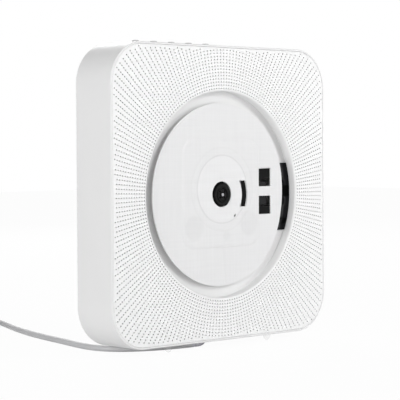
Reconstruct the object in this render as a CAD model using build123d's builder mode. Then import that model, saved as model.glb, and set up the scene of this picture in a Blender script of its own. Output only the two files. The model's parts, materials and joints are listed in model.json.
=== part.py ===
from build123d import *

import os
from math import cos, degrees, hypot, pi, radians, sin, tan

# Wall mounted disc player. Millimetres. X runs to the right seen from the front, the front
# looks along -Y, Z is up. The origin is under the middle of the housing, on the surface that
# its feet stand on. "Depth" is measured backwards from the front face.

# ---- driving dimensions: housing -------------------------------------------------------------
body_width = 193.0
body_height = 193.0
body_depth = 34.0
corner_radius = 26.5
shell_wall = 2.4
rim_width = 1.3  # shell rim that shows around the inset front panel and rear cover
rim_chamfer = 0.4
small_round = 0.5
foot_height = 4.5
foot_radius = 3.5
foot_x = 45.0
foot_y = 11.0
seam = 0.25  # gap around the inset covers
fit = 0.3  # gap between separate pieces that don't seat on each other
small_sides = 8  # posts, screws and their holes inside the housing are prisms

# ---- front panel and disc recess -------------------------------------------------------------
panel_thickness = 2.4
disc_drop = 1.0  # disc centre below the middle of the housing
well_radius = 67.6
well_depth = 6.85
well_collar = 1.6
well_rim_round = 2.0
hole_radius = 0.55
hole_rays = 200
hole_ring_pitch = 2.08
hole_first_gap = 2.5  # first ring of holes beyond the recess
hole_sides = 6
sound_zone_radius = 9.0
panel_post_radius = 3.5
panel_post_bore = 1.3
post_inset = 6.6  # post axis to the shell's side wall
post_z = 34.0

# ---- recess floor ----------------------------------------------------------------------------
floor_thickness = 2.0
floor_margin = 6.5  # floor beyond the collar, where its screws go
floor_boss_radius = 2.8
floor_boss_bore = 0.9
floor_boss_merge = 1.0  # how far a boss stands into the collar
floor_boss_angle = 60.0
deck_width = 69.0
deck_height = 71.5
deck_corner = 10.0
deck_offset_z = 1.2
deck_chamfer = 0.8
turntable_hole = 15.5
dimple_radius = 8.0
dimple_x = 24.5
dimple_z = -20.5
small_dimple_radius = 3.0
small_dimple_x = 4.5
small_dimple_z = -27.5
dimple_depth = 0.6
groove_radius = 22.4
groove_width = 1.2
groove_rise = 3.0
slot_inner = 17.0
slot_window_gap = 2.0
slot_width = 33.0
slot_corner = 8.0
window_width = 4.6
window_top = 20.3
window_bottom = 25.5
window_proud = 0.3
display_board_margin = 1.0
display_board_thickness = 1.2
floor_screw_head = 1.7
floor_screw_head_height = 1.1
floor_screw_length = 5.5

# ---- paper disc ------------------------------------------------------------------------------
paper_radius = 60.0
paper_hole = 8.75
paper_thickness = 0.8
paper_depth = 3.2
arc_slot_inner = 18.5
arc_slot_outer = 24.0
arc_slot_top = 9.0
arc_slot_bottom = 8.3
square_x = 40.75
square_width = 11.5
square_height = 12.3
square_gap = 6.4
square_middle_z = 1.5
square_round = 0.7

# ---- turntable and spindle motor -------------------------------------------------------------
turntable_radius = 13.0
turntable_thickness = 1.8
hub_radius = 7.4
hub_proud = 1.5  # hub top in front of the disc's face
hub_chamfer = 0.7
ball_radius = 1.25
ball_centre = 6.55
ball_count = 3
ball_clearance = 0.05
shaft_radius = 1.0
shaft_clearance = 0.05
shaft_proud = 0.2
sleeve_radius = 3.0
motor_radius = 12.5
motor_length = 6.6
motor_neck_radius = 4.0

# ---- drive chassis, sled, screw --------------------------------------------------------------
chassis_drop = 1.6  # from the floor's back to the chassis
chassis_thickness = 1.6
chassis_left = -30.0
chassis_beyond_slot = 13.0
chassis_half_height = 31.0
chassis_corner = 6.0
chassis_opening = 1.5  # beyond the lens tower, each way
damper_radius = 3.2
damper_bore = 1.3
damper_inset = 6.0
damper_cap_radius = 2.2
damper_cap_thickness = 1.0
rod_radius = 1.5
rod_z = 15.5
rod_clearance = 0.05
rod_bracket_width = 1.8
rod_bracket_wall = 1.8
rod_start = 12.0
rod_end = 63.5
rod_drop = 3.4  # chassis back to rod axis
sled_length = 14.0
sled_home = 41.0  # lens to disc centre at rest
sled_wall = 1.8
tower_width = 9.0
tower_height = 15.0
lens_gap = 1.2  # lens top to the back of the disc
lens_radius = 2.0
lens_thickness = 0.8
screw_radius = 1.5
screw_z = -24.5
screw_journal_radius = 1.0
screw_journal_clearance = 0.05
screw_journal_length = 5.0
screw_motor_width = 9.0
screw_motor_round = 2.0
screw_motor_length = 11.0
nut_clearance = 0.06
nut_length = 6.0
nut_wall = 1.4

# ---- buttons ---------------------------------------------------------------------------------
button_count = 5
button_start = 8.6  # first button beyond the corner's round
button_pitch = 15.2
button_radius = 2.4
button_proud = 1.9
button_travel = 0.9
button_clearance = 0.1
button_chamfer = 0.4
button_stem_radius = 1.4
button_flange = 0.9
button_flange_thickness = 0.8
button_board_thickness = 1.6
button_board_depth = 13.0
button_board_margin = 7.0
button_board_width = 12.0
button_post_radius = 2.2
button_post_bore = 0.8
switch_width = 5.0
switch_height = 2.6

# ---- loudspeakers ----------------------------------------------------------------------------
speaker_inset = 25.1  # loudspeaker axis to the shell's side and bottom walls
speaker_radius = 19.0
speaker_opening = 16.0
speaker_flange = 1.6
basket_radius = 18.4
basket_collar = 1.0
basket_wall = 1.0
basket_back_radius = 9.5
basket_length = 8.0  # flange back to the back plate
back_plate_thickness = 1.6
magnet_radius = 10.0
magnet_length = 5.5
surround_radius = 17.1
cone_radius = 15.2
cone_throat = 6.0
cone_depth = 5.2
cone_wall = 0.7
coil_former_radius = 3.5
coil_former_length = 2.4
coil_former_gap = 0.5

# ---- boards and sockets ----------------------------------------------------------------------
board_thickness = 1.6
board_width = 124.0
board_height = 50.0
board_top_gap = 17.1  # below the shell's top wall
board_depth = 22.0
standoff_radius = 2.6
standoff_inset = 5.0
board_screw_radius = 1.4
board_screw_head = 2.6
board_screw_head_height = 1.5
chip_size = 12.0
chip_height = 1.8
capacitor_radius = 4.0
capacitor_height = 8.0
chip_spots = ((-36.0, 5.0), (-6.0, -7.0), (26.0, 9.0))  # from the board's middle
capacitor_spots = ((-12.0, 15.0), (8.0, 15.0), (46.0, -9.0))
jack_radius = 1.8
jack_outer = 3.4
jack_length = 13.0
jack_z = 12.0
jack_body = 9.0
jack_body_length = 11.0
jack_front = 4.2  # jack axis to the front of its body
usb_width = 13.2
usb_height = 5.8
usb_wall = 0.5
usb_tongue_inset = 1.0
usb_length = 14.0
usb_z = -12.0
usb_tongue = 1.9
socket_inset = 0.4  # socket face behind the shell's outside
socket_depth = 17.0
socket_board_width = 15.0
socket_board_half_height = 26.0
socket_board_gap = 0.7
socket_standoff_inset = 10.9
socket_standoff_z = 22.6

# ---- rear cover and wall bracket -------------------------------------------------------------
cover_thickness = 2.4
pocket_width = 66.0
pocket_height = 40.0
pocket_drop = 11.1  # below the shell's top wall
pocket_depth = 5.2
pocket_wall = 1.8
pocket_lip = 7.0
pocket_corner = 3.0
bracket_width = 58.0
bracket_thickness = 1.5
bracket_height = 24.0
bracket_hook = 6.1  # hook tip above the top of the plate's step
bracket_gap = 0.4
bracket_hole_radius = 2.25
bracket_hole_spacing = 38.0
bracket_hole_drop = 14.0  # below the step
cover_screw_radius = 1.25
cover_screw_head = 2.6
cover_screw_head_height = 1.6
cover_screw_length = 9.0
vent_count = 7
vent_length = 22.0
vent_width = 1.8
vent_pitch = 4.5
vent_z = -40.0  # below the disc centre

# ---- cord ------------------------------------------------------------------------------------
cord_diameter = 4.0
bend_share = 0.45  # of the shorter run beside a bend
gland_x = -7.0
gland_y = -3.0
gland_stub_radius = 3.6
gland_flange_radius = 5.4
gland_flange_thickness = 1.6
gland_end_x = -18.0
gland_nose_radius = 2.15
gland_clearance = 0.1
coil_centre = (-46.0, 240.0)
coil_turns_across = 3
coil_turns_high = 3
coil_middle_radius = 23.0
tie_thickness = 0.5
tie_width = 7.0
tie_gap = 0.1
coil_chamfer = 1.2
plug_body_width = 16.0
plug_body_length = 22.0
plug_body_height = 8.0
plug_shell_width = 12.0
plug_shell_length = 12.0
plug_shell_height = 4.5
plug_tongue_inset = 0.4
plug_nose = 9.0
plug_nose_radius = 2.6
plug_round = 2.0
plug_shell_wall = 0.4
plug_tongue = 1.8
plug_clear = 24.0  # from the coil's middle to the start of the plug's nose, along Y

# ---- places worked out from the sizes --------------------------------------------------------
front_y = -body_depth / 2
body_mid_z = foot_height + body_height / 2
body_top_z = foot_height + body_height
disc_z = body_mid_z - disc_drop
cord_radius = cord_diameter / 2
nose_z = gland_nose_radius + gland_clearance
inner_width = body_width - 2 * shell_wall
inner_height = body_height - 2 * shell_wall
rebate_width = body_width - 2 * rim_width
rebate_height = body_height - 2 * rim_width
inset_width = rebate_width - 2 * seam
inset_height = rebate_height - 2 * seam
inset_corner = corner_radius - rim_width - seam
cover_front = body_depth - cover_thickness
floor_back = well_depth + floor_thickness
paper_back = paper_depth + paper_thickness
seat_depth = paper_back + fit
chassis_front = floor_back + chassis_drop
chassis_back = chassis_front + chassis_thickness
rod_depth = chassis_back + rod_drop
top_wall_z = inner_height / 2 + disc_drop  # from the disc centre, as are the next heights
speaker_x = inner_width / 2 - speaker_inset
speaker_z = disc_drop - inner_height / 2 + speaker_inset
pocket_top_z = top_wall_z - pocket_drop
board_bottom_z = top_wall_z - board_top_gap - board_height
window_inner = well_radius - window_width
slot_outer = window_inner - slot_window_gap
chassis_right = slot_outer + chassis_beyond_slot


def at_depth(depth, z=disc_z, x=0.0):
    """A plane parallel to the front, facing forwards, its origin on the disc's axis."""
    return Plane(origin=(x, front_y + depth, z), x_dir=(1, 0, 0), z_dir=(0, -1, 0))


def across(x, z=disc_z, depth=0.0):
    """A plane that faces to the right; its local X runs backwards, its local Y up."""
    return Plane(origin=(x, front_y + depth, z), x_dir=(0, 1, 0), z_dir=(1, 0, 0))


def level(z, x=0.0, y=0.0):
    """A level plane that faces up."""
    return Plane(origin=(x, y, z), x_dir=(1, 0, 0), z_dir=(0, 0, 1))


def keep(piece, name):
    """Name a finished piece and write it."""
    piece.part.label = name
    export_step(piece.part, f"parts/{name}.step")


os.makedirs("parts", exist_ok=True)

post_x = inner_width / 2 - post_inset
post_places = [(x, z) for x in (-post_x, post_x) for z in (-post_z, post_z)]
speaker_places = [(-speaker_x, speaker_z), (speaker_x, speaker_z)]
button_first_x = corner_radius - body_width / 2 + button_start
button_places = [button_first_x + i * button_pitch for i in range(button_count)]
button_post_places = [(x + button_pitch / 2, 0) for x in (button_places[0], button_places[-2])]
button_board_top = body_top_z - button_board_depth
damper_places = [(x, z) for x in (chassis_left + damper_inset, chassis_right - damper_inset)
                 for z in (-chassis_half_height + damper_inset, chassis_half_height - damper_inset)]
floor_boss_ring = well_radius + well_collar + floor_boss_radius - floor_boss_merge
floor_radius = well_radius + well_collar + floor_margin

# ---- side shell: a rounded square tube with a rebate at each end -----------------------------
with BuildPart() as side_shell:
    with BuildSketch(at_depth(0, body_mid_z)):
        RectangleRounded(body_width, body_height, corner_radius)
    extrude(amount=-body_depth)
    chamfer(side_shell.edges().group_by(Axis.Y)[0] + side_shell.edges().group_by(Axis.Y)[-1], rim_chamfer)
    with BuildSketch(at_depth(0, body_mid_z)):
        RectangleRounded(inner_width, inner_height, corner_radius - shell_wall)
    extrude(amount=-body_depth, mode=Mode.SUBTRACT)
    for start, thickness in ((0, panel_thickness), (cover_front, cover_thickness)):
        with BuildSketch(at_depth(start, body_mid_z)):
            RectangleRounded(rebate_width, rebate_height, corner_radius - rim_width)
        extrude(amount=-thickness, mode=Mode.SUBTRACT)
    with BuildSketch(level(body_top_z)):
        with Locations(*[(x, 0) for x in button_places]):
            Circle(button_radius + button_clearance)
    extrude(amount=-2 * shell_wall, mode=Mode.SUBTRACT)
    with BuildSketch(level(button_board_top)):
        with Locations(*button_post_places):
            RegularPolygon(button_post_radius, small_sides)
            RegularPolygon(button_post_bore, small_sides, mode=Mode.SUBTRACT)
    extrude(amount=body_top_z - shell_wall - button_board_top)
    with BuildSketch(level(foot_height, gland_x, gland_y)):
        Circle(gland_stub_radius + gland_clearance)
    extrude(amount=2 * shell_wall, mode=Mode.SUBTRACT)
    with BuildSketch(across(body_width / 2, depth=socket_depth)):
        with Locations((0, jack_z)):
            Circle(jack_outer + gland_clearance)
        with Locations((0, usb_z)):
            Rectangle(usb_height + 2 * gland_clearance, usb_width + 2 * gland_clearance)
    extrude(amount=-2 * shell_wall, mode=Mode.SUBTRACT)
keep(side_shell, "side_shell")


# ---- front panel: rolled rim round the recess, sound holes on rays, four screw posts ---------
def sound_hole_places():
    """Hole centres on the rays and rings that lie over one of the two loudspeakers."""
    places = []
    ring_count = int(body_width / hole_ring_pitch)
    for ring in range(ring_count):
        radius = well_radius + hole_first_gap + ring * hole_ring_pitch
        for ray in range(hole_rays):
            angle = 2 * pi * (ray + 0.5) / hole_rays
            x = radius * cos(angle)
            z = radius * sin(angle)
            if hypot(abs(x) - speaker_x, z - speaker_z) < sound_zone_radius:
                places.append((x, z))
    return places


with BuildPart() as front_panel:
    with BuildSketch(at_depth(0, body_mid_z)):
        RectangleRounded(inset_width, inset_height, inset_corner)
    extrude(amount=-panel_thickness)
    with BuildSketch(at_depth(0)):
        Circle(well_radius + well_collar)
    extrude(amount=-well_depth)
    with BuildSketch(at_depth(0)):
        Circle(well_radius)
    extrude(amount=-well_depth, mode=Mode.SUBTRACT)
    fillet(front_panel.edges().filter_by(GeomType.CIRCLE).group_by(Axis.Y)[0], well_rim_round)
    with BuildSketch(at_depth(panel_thickness)):
        with PolarLocations(floor_boss_ring, 4, floor_boss_angle):
            RegularPolygon(floor_boss_radius, small_sides)
            RegularPolygon(floor_boss_bore, small_sides, mode=Mode.SUBTRACT)
    extrude(amount=-(well_depth - panel_thickness))
    with BuildSketch(at_depth(panel_thickness)):
        with Locations(*post_places):
            RegularPolygon(panel_post_radius, small_sides)
            RegularPolygon(panel_post_bore, small_sides, mode=Mode.SUBTRACT)
    extrude(amount=-(cover_front - panel_thickness))
    with BuildSketch(at_depth(0)):
        with Locations(*sound_hole_places()):
            RegularPolygon(hole_radius, hole_sides)
    extrude(amount=-panel_thickness, mode=Mode.SUBTRACT)
keep(front_panel, "front_panel")

# ---- floor of the recess: raised deck plate, pickup slot, seat for the window ----------------
window_outer = well_radius


def window_outline(grow=0.0):
    """The arc window: a ring sector whose ends are level."""
    Circle(window_outer + grow)
    Circle(window_inner - grow, mode=Mode.SUBTRACT)
    with Locations((window_outer, (window_top - window_bottom) / 2)):
        Rectangle(window_outer, window_top + window_bottom + 2 * grow, mode=Mode.INTERSECT)


with BuildPart() as disc_well:
    with BuildSketch(at_depth(well_depth)):
        Circle(floor_radius)
        with Locations(*speaker_places):
            Circle(speaker_radius + fit, mode=Mode.SUBTRACT)
    extrude(amount=-floor_thickness)
    with BuildSketch(at_depth(seat_depth, disc_z + deck_offset_z)):
        RectangleRounded(deck_width, deck_height, deck_corner)
    extrude(amount=-(well_depth - seat_depth))
    chamfer(disc_well.edges().group_by(Axis.Y)[0], deck_chamfer)
    with BuildSketch(at_depth(seat_depth)):
        with Locations((0, groove_rise)):
            Circle(groove_radius + groove_width / 2)
            Circle(groove_radius - groove_width / 2, mode=Mode.SUBTRACT)
        with Locations((dimple_x, dimple_z), (-dimple_x, dimple_z)):
            Circle(dimple_radius)
        with Locations((small_dimple_x, small_dimple_z)):
            Circle(small_dimple_radius)
    extrude(amount=-dimple_depth, mode=Mode.SUBTRACT)
    with BuildSketch(at_depth(seat_depth)):
        Circle(turntable_hole)
        with Locations(((slot_inner + slot_outer) / 2, 0)):
            RectangleRounded(slot_outer - slot_inner, slot_width, slot_corner)
        with Locations((turntable_hole, 0)):
            Rectangle(turntable_hole / 2, turntable_hole)
    extrude(amount=-(floor_back - seat_depth), mode=Mode.SUBTRACT)
    with BuildSketch(at_depth(well_depth)):
        window_outline()
    extrude(amount=-floor_thickness, mode=Mode.SUBTRACT)
    with BuildSketch(at_depth(well_depth)):
        with PolarLocations(floor_boss_ring, 4, floor_boss_angle):
            RegularPolygon(floor_boss_bore + fit, small_sides)
    extrude(amount=-floor_thickness, mode=Mode.SUBTRACT)
    with BuildSketch(at_depth(floor_back)):
        with Locations(*damper_places):
            RegularPolygon(damper_bore, small_sides)
    extrude(amount=-(chassis_back + damper_cap_thickness - floor_back))
keep(disc_well, "disc_well")

# ---- arc window and its board ----------------------------------------------------------------
with BuildPart() as display_window:
    with BuildSketch(at_depth(well_depth - window_proud)):
        window_outline(-seam / 2)
    extrude(amount=-(floor_thickness + window_proud))
keep(display_window, "display_window")

with BuildPart() as display_board:
    with BuildSketch(at_depth(floor_back)):
        window_outline(display_board_margin)
    extrude(amount=-display_board_thickness)
keep(display_board, "display_board")

# ---- paper disc ------------------------------------------------------------------------------
with BuildPart() as paper_disc:
    with BuildSketch(at_depth(paper_depth)):
        Circle(paper_radius)
        Circle(paper_hole, mode=Mode.SUBTRACT)
        square_rise = (square_gap + square_height) / 2
        with Locations((square_x, square_middle_z + square_rise), (square_x, square_middle_z - square_rise)):
            RectangleRounded(square_width, square_height, square_round, mode=Mode.SUBTRACT)
    extrude(amount=-paper_thickness)
    with BuildSketch(at_depth(paper_depth)):
        Circle(arc_slot_outer)
        Circle(arc_slot_inner, mode=Mode.SUBTRACT)
        with Locations((arc_slot_outer, (arc_slot_top - arc_slot_bottom) / 2)):
            Rectangle(arc_slot_outer, arc_slot_top + arc_slot_bottom, mode=Mode.INTERSECT)
    extrude(amount=-paper_thickness, mode=Mode.SUBTRACT)
keep(paper_disc, "paper_disc")

# ---- turntable: plate, hub with round pockets for the balls, sleeve on the motor shaft --------
hub_top = paper_depth - hub_proud
ball_places = PolarLocations(ball_centre, ball_count, 60.0).locations
ball_plane = at_depth(paper_depth + paper_thickness / 2)
with BuildPart() as turntable:
    with BuildSketch(at_depth(hub_top)):
        Circle(hub_radius)
    extrude(amount=-(seat_depth - hub_top))
    chamfer(turntable.edges().group_by(Axis.Y)[0], hub_chamfer)
    with BuildSketch(at_depth(seat_depth)):
        Circle(turntable_radius)
    extrude(amount=-turntable_thickness)
    with BuildSketch(at_depth(seat_depth + turntable_thickness)):
        Circle(sleeve_radius)
    extrude(amount=-(chassis_front - seat_depth - turntable_thickness))
    with BuildSketch(at_depth(hub_top)):
        Circle(shaft_radius)
    extrude(amount=-(chassis_front - hub_top), mode=Mode.SUBTRACT)
    for place in ball_places:
        with Locations(ball_plane * place):
            Cylinder(ball_radius + ball_clearance, 2 * (ball_radius + ball_clearance), rotation=(0, 90, 0),
                     mode=Mode.SUBTRACT)
keep(turntable, "turntable")

with BuildPart() as hub_balls:
    with Locations(*[ball_plane * place for place in ball_places]):
        Sphere(ball_radius)
keep(hub_balls, "hub_balls")

motor_back = chassis_back + motor_length
with BuildPart() as spindle_shaft:
    with BuildSketch(at_depth(hub_top - shaft_proud)):
        Circle(shaft_radius)
    extrude(amount=-(motor_back - hub_top))
keep(spindle_shaft, "spindle_shaft")

with BuildPart() as spindle_motor:
    with BuildSketch(at_depth(chassis_back)):
        Circle(motor_radius)
    extrude(amount=-motor_length)
    chamfer(spindle_motor.edges().group_by(Axis.Y)[-1], small_round)
    with BuildSketch(at_depth(chassis_front + fit)):
        Circle(motor_neck_radius)
    extrude(amount=-(chassis_thickness - fit))
    with BuildSketch(at_depth(chassis_front)):
        Circle(shaft_radius + shaft_clearance)
    extrude(amount=-(motor_back - chassis_front), mode=Mode.SUBTRACT)
keep(spindle_motor, "spindle_motor")

# ---- drive chassis: plate, sled opening, brackets for the rods and the lead screw ------------
chassis_middle_x = (chassis_left + chassis_right) / 2
bracket_half = rod_radius + rod_bracket_wall
bracket_reach = rod_drop + rod_radius + rod_bracket_wall
rod_spots = ((rod_start - rod_bracket_width / 2, rod_z), (rod_end + rod_bracket_width / 2, rod_z),
             (rod_start - rod_bracket_width / 2, -rod_z), (rod_end + rod_bracket_width / 2, -rod_z))
with BuildPart() as drive_chassis:
    with BuildSketch(at_depth(chassis_front)):
        with Locations((chassis_middle_x, 0)):
            RectangleRounded(chassis_right - chassis_left, 2 * chassis_half_height, chassis_corner)
        with Locations(((slot_inner + slot_outer) / 2, 0)):
            Rectangle(slot_outer - slot_inner, tower_height + 2 * chassis_opening, mode=Mode.SUBTRACT)
        Circle(motor_neck_radius + fit, mode=Mode.SUBTRACT)
        with Locations(*damper_places):
            RegularPolygon(damper_bore + fit, small_sides, mode=Mode.SUBTRACT)
    extrude(amount=-chassis_thickness)
    with BuildSketch(at_depth(chassis_back)):
        with Locations(*rod_spots):
            Rectangle(rod_bracket_width, 2 * bracket_half)
        with Locations((rod_end + rod_bracket_width / 2, screw_z)):
            Rectangle(rod_bracket_width, 2 * bracket_half)
    extrude(amount=-bracket_reach)
    with BuildSketch(across(rod_start - rod_bracket_width, depth=rod_depth)):
        with Locations((0, rod_z), (0, -rod_z)):
            Circle(rod_radius)
    extrude(amount=rod_end - rod_start + 2 * rod_bracket_width, mode=Mode.SUBTRACT)
    with BuildSketch(across(rod_end, depth=rod_depth)):
        with Locations((0, screw_z)):
            Circle(screw_journal_radius + screw_journal_clearance)
    extrude(amount=rod_bracket_width, mode=Mode.SUBTRACT)
keep(drive_chassis, "drive_chassis")

with BuildPart() as dampers:
    with BuildSketch(at_depth(floor_back)):
        with Locations(*damper_places):
            RegularPolygon(damper_radius, small_sides)
            RegularPolygon(damper_bore, small_sides, mode=Mode.SUBTRACT)
    extrude(amount=-chassis_drop)
keep(dampers, "dampers")

with BuildPart() as damper_caps:
    with BuildSketch(at_depth(chassis_back)):
        with Locations(*damper_places):
            RegularPolygon(damper_cap_radius, small_sides)
            RegularPolygon(damper_bore, small_sides, mode=Mode.SUBTRACT)
    extrude(amount=-damper_cap_thickness)
keep(damper_caps, "damper_caps")

with BuildPart() as guide_rods:
    with BuildSketch(across(rod_start - rod_bracket_width, depth=rod_depth)):
        with Locations((0, rod_z), (0, -rod_z)):
            Circle(rod_radius)
    extrude(amount=rod_end - rod_start + 2 * rod_bracket_width)
keep(guide_rods, "guide_rods")

# ---- pickup sled: bearing block on the rods, lens tower, half nut on the lead screw ----------
sled_front = chassis_back + fit
sled_back = rod_depth + rod_radius + rod_clearance + sled_wall
sled_half = rod_z + rod_radius + rod_clearance + sled_wall
sled_start = sled_home - sled_length / 2
lens_top = paper_back + lens_gap
nut_start = sled_home + sled_length / 2 - nut_length
nut_half = screw_radius + nut_wall
nut_top = sled_wall - sled_half
with BuildPart() as pickup_sled:
    with BuildSketch(at_depth(sled_front)):
        with Locations((sled_home, 0)):
            RectangleRounded(sled_length, 2 * sled_half, small_round)
    extrude(amount=-(sled_back - sled_front))
    with BuildSketch(at_depth(lens_top + lens_thickness)):
        with Locations((sled_home, 0)):
            RectangleRounded(tower_width, tower_height, small_round)
    extrude(amount=-(sled_front - lens_top - lens_thickness))
    with BuildSketch(at_depth(sled_front)):
        with Locations((nut_start + nut_length / 2, (nut_top + screw_z - nut_half) / 2)):
            Rectangle(nut_length, nut_top - screw_z + nut_half)
    extrude(amount=-(sled_back - sled_front))
    with BuildSketch(across(sled_start, depth=rod_depth)):
        with Locations((0, rod_z), (0, -rod_z)):
            Circle(rod_radius + rod_clearance)
        with Locations((0, screw_z)):
            Circle(screw_radius + nut_clearance)
    extrude(amount=sled_length, mode=Mode.SUBTRACT)
keep(pickup_sled, "pickup_sled")

with BuildPart() as pickup_lens:
    with BuildSketch(at_depth(lens_top)):
        with Locations((sled_home, 0)):
            Circle(lens_radius)
    extrude(amount=-lens_thickness)
    chamfer(pickup_lens.edges().group_by(Axis.Y)[0], lens_thickness / 2)
keep(pickup_lens, "pickup_lens")

screw_start = rod_start + fit
screw_end = rod_end - fit
with BuildPart() as lead_screw:
    with BuildSketch(across(screw_start, depth=rod_depth)):
        with Locations((0, screw_z)):
            Circle(screw_radius)
    extrude(amount=screw_end - screw_start)
    with BuildSketch(across(screw_start - screw_journal_length, depth=rod_depth)):
        with Locations((0, screw_z)):
            Circle(screw_journal_radius)
    extrude(amount=screw_journal_length + rod_end + rod_bracket_width - screw_start)
keep(lead_screw, "lead_screw")

with BuildPart() as screw_motor:
    with BuildSketch(across(rod_start, depth=rod_depth)):
        with Locations((0, screw_z)):
            RectangleRounded(2 * rod_drop, screw_motor_width, screw_motor_round)
    extrude(amount=-screw_motor_length)
    with BuildSketch(across(rod_start, depth=rod_depth)):
        with Locations((0, screw_z)):
            Circle(screw_journal_radius + screw_journal_clearance)
    extrude(amount=-screw_journal_length, mode=Mode.SUBTRACT)
keep(screw_motor, "screw_motor")

with BuildPart() as floor_screws:
    with BuildSketch(at_depth(floor_back)):
        with PolarLocations(floor_boss_ring, 4, floor_boss_angle):
            RegularPolygon(floor_screw_head, small_sides)
    extrude(amount=-floor_screw_head_height)
    with BuildSketch(at_depth(floor_back)):
        with PolarLocations(floor_boss_ring, 4, floor_boss_angle):
            RegularPolygon(floor_boss_bore, small_sides)
    extrude(amount=floor_screw_length)
keep(floor_screws, "floor_screws")

# ---- buttons on the top, their switches and board --------------------------------------------
wall_inside_z = body_top_z - shell_wall
flange_top = wall_inside_z - fit
switch_top = button_board_top + switch_height
for number, x in enumerate(button_places, start=1):
    with BuildPart() as top_button:
        with BuildSketch(level(body_top_z + button_proud, x)):
            Circle(button_radius)
        extrude(amount=-(body_top_z + button_proud - flange_top))
        chamfer(top_button.edges().group_by(Axis.Z)[-1], button_chamfer)
        with BuildSketch(level(flange_top, x)):
            RegularPolygon(button_radius + button_flange, small_sides)
        extrude(amount=-button_flange_thickness)
        with BuildSketch(level(flange_top - button_flange_thickness, x)):
            RegularPolygon(button_stem_radius, small_sides)
        extrude(amount=-(flange_top - button_flange_thickness - switch_top - button_travel - fit))
    keep(top_button, f"top_button_{number}")

button_board_middle = (button_places[0] + button_places[-1]) / 2
button_board_length = button_places[-1] - button_places[0] + 2 * button_board_margin
with BuildPart() as button_board:
    with BuildSketch(level(button_board_top, button_board_middle)):
        Rectangle(button_board_length, button_board_width)
    extrude(amount=-button_board_thickness)
    with BuildSketch(level(button_board_top)):
        with Locations(*button_post_places):
            RegularPolygon(button_post_bore + fit, small_sides)
    extrude(amount=-button_board_thickness, mode=Mode.SUBTRACT)
keep(button_board, "button_board")

with BuildPart() as button_switches:
    with BuildSketch(level(button_board_top)):
        with Locations(*[(x, 0) for x in button_places]):
            Rectangle(switch_width, switch_width)
    extrude(amount=switch_height)
keep(button_switches, "button_switches")

with BuildPart() as button_board_screws:
    with BuildSketch(level(button_board_top - button_board_thickness)):
        with Locations(*button_post_places):
            RegularPolygon(floor_screw_head, small_sides)
    extrude(amount=-floor_screw_head_height)
    with BuildSketch(level(button_board_top - button_board_thickness)):
        with Locations(*button_post_places):
            RegularPolygon(button_post_bore, small_sides)
    extrude(amount=floor_screw_length)
keep(button_board_screws, "button_board_screws")

# ---- two loudspeakers behind the sound holes -------------------------------------------------
flange_back = panel_thickness + speaker_flange
basket_back = flange_back + basket_length
basket_taper = basket_length - basket_collar - back_plate_thickness
from_front = (Align.CENTER, Align.CENTER, Align.MAX)
for side, x in (("left", -speaker_x), ("right", speaker_x)):
    with BuildPart() as speaker_frame:
        with BuildSketch(at_depth(panel_thickness, disc_z + speaker_z, x)):
            Circle(speaker_radius)
        extrude(amount=-speaker_flange)
        with BuildSketch(at_depth(flange_back, disc_z + speaker_z, x)):
            Circle(basket_radius)
        extrude(amount=-basket_collar)
        with Locations(at_depth(flange_back + basket_collar, disc_z + speaker_z, x)):
            Cone(basket_back_radius, basket_radius, basket_taper, align=from_front)
            Cone(basket_back_radius - basket_wall, basket_radius - basket_wall, basket_taper,
                 align=from_front, mode=Mode.SUBTRACT)
        with BuildSketch(at_depth(panel_thickness, disc_z + speaker_z, x)):
            Circle(speaker_opening)
        extrude(amount=-speaker_flange, mode=Mode.SUBTRACT)
        with BuildSketch(at_depth(flange_back, disc_z + speaker_z, x)):
            Circle(basket_radius - basket_wall)
        extrude(amount=-basket_collar, mode=Mode.SUBTRACT)
        with BuildSketch(at_depth(basket_back, disc_z + speaker_z, x)):
            Circle(magnet_radius)
            Circle(coil_former_radius + coil_former_gap, mode=Mode.SUBTRACT)
        extrude(amount=back_plate_thickness)
    keep(speaker_frame, f"speaker_frame_{side}")
    with BuildPart() as speaker_cone:
        with BuildSketch(at_depth(flange_back, disc_z + speaker_z, x)):
            Circle(surround_radius)
            Circle(cone_radius - cone_wall, mode=Mode.SUBTRACT)
        extrude(amount=-cone_wall)
        with Locations(at_depth(flange_back, disc_z + speaker_z, x)):
            Cone(cone_throat, cone_radius, cone_depth, align=from_front)
            Cone(cone_throat - cone_wall, cone_radius - cone_wall, cone_depth - cone_wall,
                 align=from_front, mode=Mode.SUBTRACT)
        with BuildSketch(at_depth(flange_back + cone_depth, disc_z + speaker_z, x)):
            Circle(coil_former_radius)
        extrude(amount=-coil_former_length)
    keep(speaker_cone, f"speaker_cone_{side}")
    with BuildPart() as speaker_magnet:
        with BuildSketch(at_depth(basket_back, disc_z + speaker_z, x)):
            Circle(magnet_radius)
        extrude(amount=-magnet_length)
    keep(speaker_magnet, f"speaker_magnet_{side}")

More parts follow.
